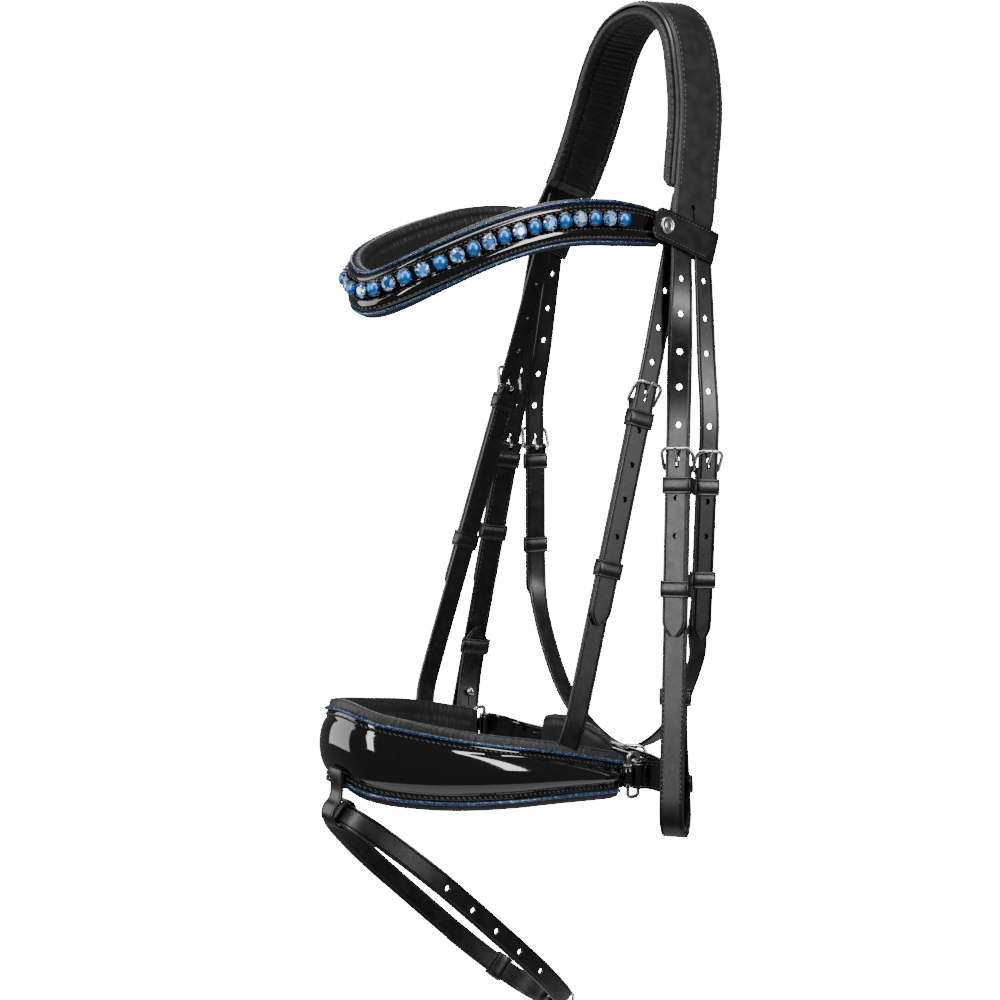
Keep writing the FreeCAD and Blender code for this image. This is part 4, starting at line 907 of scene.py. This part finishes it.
for side in (near, far):
    name, seat = sideNames[side], tabSeat(side)
    line = [(-13.8, -2.05), (0, -2.05), (11, -2.05), (20, -2.05), (23.9, -1.1), (25.25, 1.3), (23.9, 3.7), (20, 4.7),
            (11, 4.75), (0, 4.75), (-12, 4.7), (tab["front"], 4.55)]
    route = Route([seat.at(x, 0, z) for x, z in line], seat.y, 1.2)
    wide = roundedEnd(route, tab["wide"], 4.5)
    piece = makeStrap(name + "TabStrap", route, wide, -0.9, 0.9, shared["strapSoft"], 0.1)
    start, end = seat.at(0, 0, -0.6), seat.at(0, 0, 3.6)
    settle(piece, "headpiece", [name + "_browband_flap", "browband_tabs"],
           blend=(name + "_flap", start, end))
    flat = route.nearest(seat.at(17, 0, 4.7))
    sign = 1 if route.out[-4] @ seat.z > 0 else -1
    rows = [(wide / 2 - 1.9, sign * 1.0), (1.9 - wide / 2, sign * 1.0)]
    settle(stitch(name + "TabThread", route, rows, flat, -2.5, pitch=2.7), name + "_flap")
    cap = [(0.01, 1.15), (1.4, 1.1), (2.2, 0.85), (2.6, 0.8), (3.0, 1.05), (3.6, 1.45), (4.4, 1.5), (5.0, 1.2),
           (5.2, 0.7), (5.2, 0.0), (0.01, 0.0)]
    shell = Shell()
    revolve(shell, seat.at(tab["cap"], 0, 5.75), seat.z, cap, 40)
    settle(shell.make(name + "SnapCap", ["steel"], sharp=60), name + "_flap", [name + "_snap_cap"])
    stud = Shell()
    revolve(stud, seat.at(tab["cap"], 0, 2.75), seat.z, [(0.01, 0.75), (1.6, 0.75), (1.9, 0.5), (2.6, 0.35),
                                                        (3.1, 0.2), (3.1, 0.0), (0.01, 0.0)], 28)
    settle(stud.make(name + "SnapStud", ["steel"], sharp=60), "headpiece", ["snap_studs"])
print("tabs made")

# the tongue's slot in a hanging strap: its upper and lower ends, from the bar
strapSlot = (1.0, -3.4)

# cheekpieces
cheek = {"stud": -163.0, "runner": {near: -70.6, far: -58.0}, "seamFrom": 126, "seamTo": 196,
         "line": [(-1.6, 0), (-60, 0), (-120, 0), (-160, 0), (-190, 0), (-204, -0.6), (-213, -4.2), (-215.5, -8),
                  (-212.5, -12), (-203, -14), (-190, -11.8), (-172, -7.4), (-158, -4.4), (-148, -3.2), (-136, -3),
                  (-127, -3), (-121, -3)]}
for side in (near, far):
    name, seat, body = sideNames[side], seats["cheek", side], sideNames[side] + "_cheekpiece"
    wide = hang["cheek"]["wide"]
    settle(makeBillet("cheek", side, name + "CheekBillet"), "headpiece", [name + "_cheek_billet"],
           blend=(body, (side * 69, -37, -150), (side * 71, -38, -184)))
    route = Route([seat.at(0, rise, middle + out) for rise, out in cheek["line"]], -seat.x)
    widths = pointed(route, wide, 4.5, 10, atEnd=True)
    strap = makeStrap(name + "CheekStrap", route, widths, -1.2, 1.2, shared["strapSoft"])
    cutSlot(strap, seat, *strapSlot)
    carve(strap, drill([seat.at(0, cheek["stud"], -8)], [seat.z], 1.9, reach=4.6))
    carve(strap, drill([seat.at(0, cheek["stud"] - 5.5, -8)], [seat.z], 0.35, reach=4.6, stretch=4.0, along=[seat.y]))
    settle(strap, body, [name + "_cheek_strap"])
    rows = [(wide / 2 - 1.75, 1.2), (1.75 - wide / 2, 1.2)]
    settle(stitch(name + "CheekThread", route, rows, cheek["seamFrom"], cheek["seamTo"], pitch=3.0), body)
    inner = [(wide / 2 - 1.75, -1.2), (1.75 - wide / 2, -1.2)]
    settle(stitch(name + "CheekThreadBack", route, inner, 18, 118, pitch=3.2), body)
    makeSet("cheek", side, body, "cheek", name + "_cheek_buckle")
    spots = [seat.at(0, rise, middle + out) for rise, out in ((-134, -3), (-185, -10.6))]
    backs = [route.frames([route.nearest(spot)]) for spot in spots]
    backSeats = [Seat(spot, -back[1][0], seat.x) for spot, back in zip(spots, backs)]
    keepers = [makeLoop(name + "CheekKeeperTop", seat, wide, under, shared["billet"], -9.5),
               makeLoop(name + "CheekKeeperMiddle", backSeats[0], wide + 1.6, -1.3, 0.9, 0),
               makeLoop(name + "CheekKeeperLow", backSeats[1], wide + 0.4, -1.2, 1.2, 0)]
    settle(keepers, body, [name + "_cheek_keepers"])
    settle(makeLoop(name + "CheekRunner", seat, wide, under, shared["billet"], cheek["runner"][side]),
           name + "_cheek_runner_part", [name + "_cheek_runner"])
    stud = Shell()
    profile = [(0.01, 2.7), (2.6, 2.72), (2.6, 3.2), (1.5, 3.3), (1.45, 7.9), (1.9, 8.25)]
    profile += [(2.9 * math.cos(angle), 10.8 + 2.9 * math.sin(angle)) for angle in np.linspace(-0.85, 1.567, 12)]
    revolve(stud, seat.at(0, cheek["stud"], 0), -seat.z, profile, 24)
    settle(stud.make(name + "HookStud", ["steel"], sharp=50), body, [name + "_hook_stud"])
print("cheekpieces made")

# throatlash
throat = {"drop": [(-1.6, 0), (-22, 0), (-42, 0), (-60, 0), (-72, -0.2), (-84, -1.2), (-95, -3.2)],
          "bend": [(75, -25.2, -382), (66.5, -24.7, -404), (53.5, -24, -427), (37, -23.5, -443), (18.5, -23, -453)],
          "low": (0, -23, -457), "runner": -65.0}
bend = [np.array(point, float) for point in throat["bend"]]
points = [seats["throat", near].at(0, rise, middle + out) for rise, out in throat["drop"]] + bend
points += [np.array(throat["low"], float)] + [mirrored(point, far) for point in bend[::-1]]
points += [seats["throat", far].at(0, rise, middle + out) for rise, out in throat["drop"][::-1]]
nearAcross, farAcross, forward = -seats["throat", near].x, seats["throat", far].x, np.array([0.0, -1.0, 0.0])
across = [nearAcross] * 6 + [nearAcross * 0.6 + forward * 0.4] + [forward] * 11
across += [farAcross * 0.6 + forward * 0.4] + [farAcross] * 6
route = Route(points, across)
wide = hang["throat"]["wide"]
strap = makeStrap("throatlashStrap", route, wide, -1.2, 1.2, shared["strapSoft"])
for side in (near, far):
    cutSlot(strap, seats["throat", side], *strapSlot)
settle(strap, "throatlash", ["throatlash_strap"])
rows = [(wide / 2 - 1.7, -1.2), (1.7 - wide / 2, -1.2)]
settle(stitch("throatlashThreadNear", route, rows, 4, 30, pitch=3.0), "throatlash")
settle(stitch("throatlashThreadFar", route, rows, route.run[-1] - 30, -4, pitch=3.0), "throatlash")
for side in (near, far):
    name, seat = sideNames[side], seats["throat", side]
    settle(makeBillet("throat", side, name + "ThroatBillet"), "headpiece", ["throatlash_billets"],
           blend=("throatlash", (side * 69, -21, -150), (side * 70, -21, -184)))
    makeSet("throat", side, "throatlash", "throatlash", "throatlash_buckles")
    settle(makeLoop(name + "ThroatKeeper", seat, wide, under, shared["billet"], -9.5), "throatlash",
           ["throatlash_keepers"])
    settle(makeLoop(name + "ThroatRunner", seat, wide, under, shared["billet"], throat["runner"]),
           name + "_throatlash_runner_part", [name + "_throatlash_runner"])
print("throatlash made")

# noseband straps
for side in (near, far):
    name, seat, wide = sideNames[side], seats["nose", side], hang["nose"]["wide"]
    settle(makeBillet("nose", side, name + "SlipBillet"), "headpiece", ["sliphead_billets"],
           blend=("noseband", (side * 60, -41, -150), (side * 61, -44, -184)))
    foot = [(-1.6, 0), (-70, 0), (-140, 0), (-185, 0), (-197, -0.9), (-207, -3.6), (-217, -5.2)]
    route = Route([seat.at(0, rise, middle + lean) for rise, lean in foot], -seat.x)
    strap = makeStrap(name + "NoseStrap", route, wide, -1.2, 1.2, shared["strapSoft"])
    cutSlot(strap, seat, *strapSlot)
    settle(strap, "noseband", ["noseband_straps"])
    rows = [(wide / 2 - 1.7, -1.2), (1.7 - wide / 2, -1.2)]
    settle(stitch(name + "NoseThread", route, rows, 4, 34, pitch=3.0), "noseband")
    makeSet("nose", side, "noseband", "noseband", "noseband_strap_buckles")
    settle(makeLoop(name + "NoseKeeper", seat, wide, under, shared["billet"], -9.5), "noseband",
           ["noseband_strap_keepers"])
    settle(makeLoop(name + "NoseRunner", seat, wide, under, shared["billet"], -100),
           name + "_noseband_runner_part", [name + "_noseband_runner"])
print("noseband straps made")

# noseband
nose = {"half": [(72.5, -84, -450.5), (73, -100, -447.5), (71.8, -125, -443), (68, -150, -439.5), (61, -175, -436.5),
                 (50, -199, -433), (35, -218, -429.5), (18, -230, -426)],
        "front": (0, -233, -423), "tall": [27, 30, 35, 40, 44, 48, 51, 52], "thick": 7.0, "dome": 5.6,
        "flange": 0.85, "rim": 4.2, "piping": 1.05, "pipingOut": 0.95, "wrap": 2.15, "wrapTall": 13.4}
half = [np.array(point, float) for point in nose["half"]]
bandRoute = Route(half + [np.array(nose["front"], float)] + [mirrored(point, far) for point in half[::-1]], up)
count = len(bandRoute.run)
talls = bandRoute.spread(nose["tall"] + [52] + nose["tall"][::-1])
fromEnd = np.minimum(bandRoute.run, bandRoute.run[-1] - bandRoute.run)
ends = np.sqrt(np.clip(fromEnd / 5.0, 0.1, 1))
a, b = padProfile(count, talls + 0.6 - 4 * (1 - ends), nose["thick"] * (0.45 + 0.55 * ends), base=0.5, valley=1.0,
                  inset=8.0, sides=64, square=3.2)
b = np.where(np.abs(a) < column(talls / 2 - 6.2, count), np.minimum(b, 0.1), b)
piece = Shell().carry(bandRoute, (a, b)).make("nosebandPad", ["lining"], sharp=70)
settle(piece, "noseband", ["noseband_padding"])


# Patent front: a flat flange at each edge and a low dome between, highest along the middle.
def domedProfile(stations, wide, flange, high, rim, samples=39):
    half, high = column(wide, stations) / 2, column(high, stations)
    line = np.linspace(-1, 1, samples)[None]
    across = half * line
    part = np.clip((half - rim - np.abs(across)) / (half - rim), 0, 1)
    rise = flange + (high - flange) * np.sin(part * math.pi / 2) ** 0.62
    edge = np.clip((half - np.abs(across)) / 0.7, 0, 1)
    rise = 0.15 + (rise - 0.15) * np.sqrt(edge)
    back = np.concatenate([half, -half], 1) * 0.995
    return (np.concatenate([across, back], 1)[:, ::-1],
            np.concatenate([rise, np.full((stations, 2), 0.08)], 1)[:, ::-1])


patentWide = talls - 12.6
high = 0.9 + (nose["dome"] - 0.9) * np.sqrt(np.clip(fromEnd / 12.0, 0, 1)) * np.clip(talls / 44, 0.72, 1)
shell = Shell().carry(bandRoute, domedProfile(count, patentWide, nose["flange"] + 0.2, high, nose["rim"]))
ringPlace = np.array([75.0, -80.5, -450.5])
for side in (near, far):
    place = mirrored(ringPlace, side)
    turned = np.radians(np.linspace(-115, 200, 22))
    spots = [place + np.array([side * nose["wrap"] * math.sin(angle), nose["wrap"] * math.cos(angle), 0])
             for angle in turned]
    wrap = Route(spots + [place + np.array([side * -0.4, -6.5, 0.3])], up, 0.9)
    shell.carry(wrap, strapProfile(len(wrap.run), nose["wrapTall"], -0.7, 0.7, 0.4))
settle(shell.make("nosebandPatent", ["patent"], sharp=50), "noseband", ["noseband_patent"])
shell = Shell()
for edge in (-1, 1):
    shell.carry(bandRoute, roundProfile(count, nose["piping"], edge * ((talls - 10.4) / 2 + 0.15),
                                        nose["pipingOut"]))
settle(shell.make("nosebandPiping", ["glitter"], sharp=80), "noseband", ["noseband_piping"])
rows = [(edge * (patentWide / 2 - 2.1), nose["flange"] + 0.32) for edge in (-1, 1)]
settle(stitch("nosebandThread", bandRoute, rows, 5, -5, pitch=3.1, tilt=24), "noseband")

# a wire frame on each side
ring = {"wire": 1.2, "long": 8.0, "tall": 24.0}
shell = Shell()
for side in (near, far):
    place = mirrored(ringPlace, side)
    spots, outs = roundedLoop(0, ring["long"], -ring["tall"] / 2 - 1.2, ring["tall"] / 2 + 1.2, (2.4,) * 4, gap=1.5)
    angle = np.linspace(0, 2 * math.pi, 14, endpoint=False)
    centre = place + spots[:, :1] * rearward + spots[:, 1:] * up
    away = outs[:, :1] * rearward + outs[:, 1:] * up
    shell.add(centre[:, None] + away[:, None] * (ring["wire"] * np.cos(angle))[None, :, None]
              + np.array([1.0, 0, 0]) * (ring["wire"] * np.sin(angle))[None, :, None], loop=True)
settle(shell.make("nosebandRings", ["steel"], sharp=60), "noseband", ["noseband_rings"])

# flash loop under the front's middle
loop = {"centre": (0, -236, -462), "radius": 8.0, "wide": 12.0, "thick": 0.8}
loopCentre = np.array(loop["centre"], float)
turned = np.radians(np.arange(150, -151, -15.0))
spots = [(0, -237.6, -436), (0, -237.9, -441), (0, -237.5, -448.5)] + [
    loopCentre + loop["radius"] * np.array([0, -math.sin(angle), -math.cos(angle)]) for angle in turned]
route = Route(spots, np.array([1.0, 0, 0]), 1.2)
piece = makeStrap("flashLoop", route, loop["wide"], -loop["thick"], loop["thick"], 0.4)
settle(piece, "noseband", ["flash_loop"])
rows = [(edge * (loop["wide"] / 2 - 1.6), sign * loop["thick"]) for edge in (-1, 1) for sign in (-1, 1)]
settle(stitch("flashLoopThread", route, rows, 3, 26, pitch=2.7), "noseband")
print("noseband made")

# crank strap
crank = {"wide": 17.0, "thick": 2.2, "points": [(-74.8, -70.2), (-73, -61), (-66, -52.5), (-50, -48), (-25, -46.7),
         (0, -46.6), (25, -46.6), (48, -48.5), (62, -55), (69.5, -64)],
         "back": [(79.3, -64), (77, -54), (69, -45.5), (58, -41), (48, -38.6), (36, -38), (16, -38), (2, -38),
                  (-8, -38.2)],
         "sag": 7, "sagFrom": -72, "sagOver": 26, "wrap": 2.4, "holes": (-14, -27), "foldTail": 23}
ringRear = ringPlace + np.array([0, ring["long"], 0])


# The strap hangs lower behind the jaw: an even step, sag times share squared times (3 minus twice share).
def crankSag(deep):
    share = np.clip((deep - crank["sagFrom"]) / crank["sagOver"], 0, 1)
    return crank["sag"] * share * share * (3 - 2 * share)


turned = np.radians([180, 225, 270, 315, 360])
spots = crank["points"] + [(ringRear[0] + 3.1 * math.cos(angle), ringRear[1] + 3.1 * math.sin(angle))
                           for angle in turned] + crank["back"]
route = Route([(across, deep, ringPlace[2] - crankSag(deep)) for across, deep in spots], -up)
shell = Shell().carry(route, strapProfile(len(route.run), crank["wide"], -1.1, 1.1, shared["strapSoft"], 0.35))
place = mirrored(ringRear, far)
turned = np.radians(np.linspace(-200, 130, 24))
wrap = Route([place + crank["wrap"] * np.array([math.sin(angle), math.cos(angle), 0]) for angle in turned], up, 0.9)
shell.carry(wrap, strapProfile(len(wrap.run), crank["wide"], -1.0, 1.0, 0.5))
piece = shell.make("crankStrap", ["patent"])
rearZ = float(ringPlace[2] - crankSag(-38))
crankSeat = Seat((28, -38 - 1.1, rearZ), (1, 0, 0), up)
carve(piece, drill([crankSeat.at(0, rise, 0) for rise in crank["holes"]], [crankSeat.z] * 2, shared["hole"], reach=4))
punchUsed(piece, [crankSeat.at(0, shared["used"], 0)], [crankSeat.z], [crankSeat.y], 4)
settle(piece, "noseband", ["crank_strap"])
foldRows = [(edge * (crank["wide"] / 2 - 1.8), sign * 1.12) for edge in (-1, 1) for sign in (1, -1)]
settle(stitch("crankThread", route, foldRows, 175, -26, pitch=3.0), "noseband")
fold = makeFold("crankFold", crankSeat, crank["wide"], crank["foldTail"])
settle(fold, "noseband", ["crank_chape"])
settle(makeBuckle("crankBuckle", crankSeat, crank["wide"]), "noseband", ["crank_buckle"])
settle(makeTongue("crankTongue", crankSeat), "crank_tongue_part", ["crank_tongue"])

chin = {"xs": (-42, -27, -10, 8, 24), "deep": -48.4, "tall": [24, 33, 37, 33, 24], "thick": [6, 9, 10, 9, 6],
        "lift": 5.0}
route = Route([(across, chin["deep"], rearZ + chin["lift"]) for across in chin["xs"]], up, 1.0)
ends = np.sqrt(np.clip(np.minimum(route.run, route.run[-1] - route.run) / 6.0, 0.04, 1))
a, b = padProfile(len(route.run), route.spread(chin["tall"]) * (0.55 + 0.45 * ends),
                  route.spread(chin["thick"]) * (0.3 + 0.7 * ends), valley=0.9, inset=3.6, sides=56, square=2.8)
piece = Shell().carry(route, (a, b)).make("chinPad", ["lining"], sharp=75)
settle(piece, "noseband", ["chin_pad"])
print("crank strap made")

# flash strap: its side is mostly straight, bent round the chin at the foot
flash = {"side": [(41.5, 143), (41.7, 118), (41.7, 91), (40, 62), (31, 30), (17, 7.5)], "middle": 107, "out": 2.6,
         "wide": 13.0, "holes": (65, 89, 113, 137, 161)}
flashDown, flashAcross = np.array([0, 0.728, -0.685]), np.array([0, 0.685, 0.728])


def flashPoint(across, down, out=0.0):
    push = np.array([across, max(down - flash["middle"] - 70, 0.0)])
    moved = np.array([across, down]) + (out * unit(push) if out else 0.0)
    return loopCentre + np.array([moved[0], 0, 0]) + flashDown * moved[1]


out = flash["out"]
spots = [(-41, 148, out), (-39.3, 165, out), (-34, 186, out), (-26.5, 202, out), (-15, 210.5, out), (0, 213.5, out),
         (14, 212, 2), (26, 203, 0.8), (34, 186), (39.3, 165)] + flash["side"] + [(0, 0)]
spots += [(-across, down) for across, down in flash["side"][::-1]]
spots += [(-39.3, 165), (-34, 186), (-26.5, 202), (-15, 210.5), (2.4, 213.5)]
route = Route([flashPoint(*spot) for spot in spots], flashAcross)
piece = makeStrap("flashStrap", route, pointed(route, flash["wide"]), -1.0, 1.0, shared["strapSoft"])
flashSeat = Seat(flashPoint(4, 213.5, out - 1.0), (1, 0, 0), flashAcross)
carve(piece, drill([flashPoint(41.5, down) for down in flash["holes"]], [(1, 0, 0)] * 5, shared["hole"]))
punchUsed(piece, [flashSeat.at(0, shared["used"], 1)], [flashSeat.z], [flashSeat.y], 3.2)
settle(piece, "flash", ["flash_strap"])
settle(makeFold("flashFold", flashSeat, flash["wide"]), "flash")
settle(makeBuckle("flashBuckle", flashSeat, flash["wide"]), "flash", ["flash_buckle"])
settle(makeTongue("flashTongue", flashSeat), "flash_tongue_part", ["flash_tongue"])
branch = flashPoint(-26.5, 202) - flashPoint(-34, 186)
keeperSeat = Seat(flashPoint(-30.8, 194.2, out - 1.0), branch, flashAcross)
settle(makeLoop("flashKeeper", keeperSeat, flash["wide"], under, shared["billet"], 0), "flash",
       ["flash_keeper"])
print("flash made")

# studio: pale floor, bright surroundings that only the camera sees as white, five soft boxes
studio = {"floor": -1.25, "reach": 0.9, "white": 22.0, "surround": 0.1}
floorMesh = bpy.data.meshes.new("floor")
angle = np.linspace(0, 2 * math.pi, 96, endpoint=False)
rim = np.stack([np.cos(angle), np.sin(angle), 0 * angle], -1) * studio["reach"]
floorMesh.from_pydata(rim, [], [tuple(range(96))])
floorPaint = Paint("paleFloor")
floorMesh.materials.append(floorPaint.set(Base_Color=rgb(0.75, 0.75, 0.75), Roughness=0.85))
floor = bpy.data.objects.new("floor", floorMesh)
floor.location = (0, 0, studio["floor"])
bpy.context.scene.collection.objects.link(floor)
world = bpy.data.worlds.new("studio")
bpy.context.scene.world = world
world.use_nodes = True
tree = world.node_tree
ray, brightness = tree.nodes.new("ShaderNodeLightPath"), tree.nodes.new("ShaderNodeMapRange")
brightness.inputs["To Min"].default_value = studio["surround"]
brightness.inputs["To Max"].default_value = studio["white"]
tree.links.new(ray.outputs["Is Camera Ray"], brightness.inputs["Value"])
tree.links.new(brightness.outputs[0], tree.nodes["Background"].inputs["Strength"])
tree.nodes["Background"].inputs["Color"].default_value = (1, 1, 1, 1)
boxes = [{"place": (1.3, 0.15, 0.35), "size": (0.22, 1.3), "power": 16},
         {"place": (0.25, -1.35, 0.3), "size": (0.2, 1.3), "power": 11},
         {"place": (0.35, -0.35, 1.05), "size": (1.0, 0.5), "power": 12},
         {"place": (-1.0, -1.15, 0.0), "size": (1.0, 1.5), "power": 13},
         {"place": (-1.0, 0.6, 0.3), "size": (0.5, 1.2), "power": 6}]
aim = Vector((0, -0.1, -0.28))
for index, box in enumerate(boxes):
    lightData = bpy.data.lights.new(f"softBox{index + 1}", "AREA")
    lightData.shape, lightData.size, lightData.size_y = "RECTANGLE", *box["size"]
    lightData.energy = box["power"]
    light = bpy.data.objects.new(lightData.name, lightData)
    light.location = box["place"]
    light.rotation_euler = (aim - Vector(box["place"])).to_track_quat("-Z", "Y").to_euler()
    bpy.context.scene.collection.objects.link(light)

print("scene made")
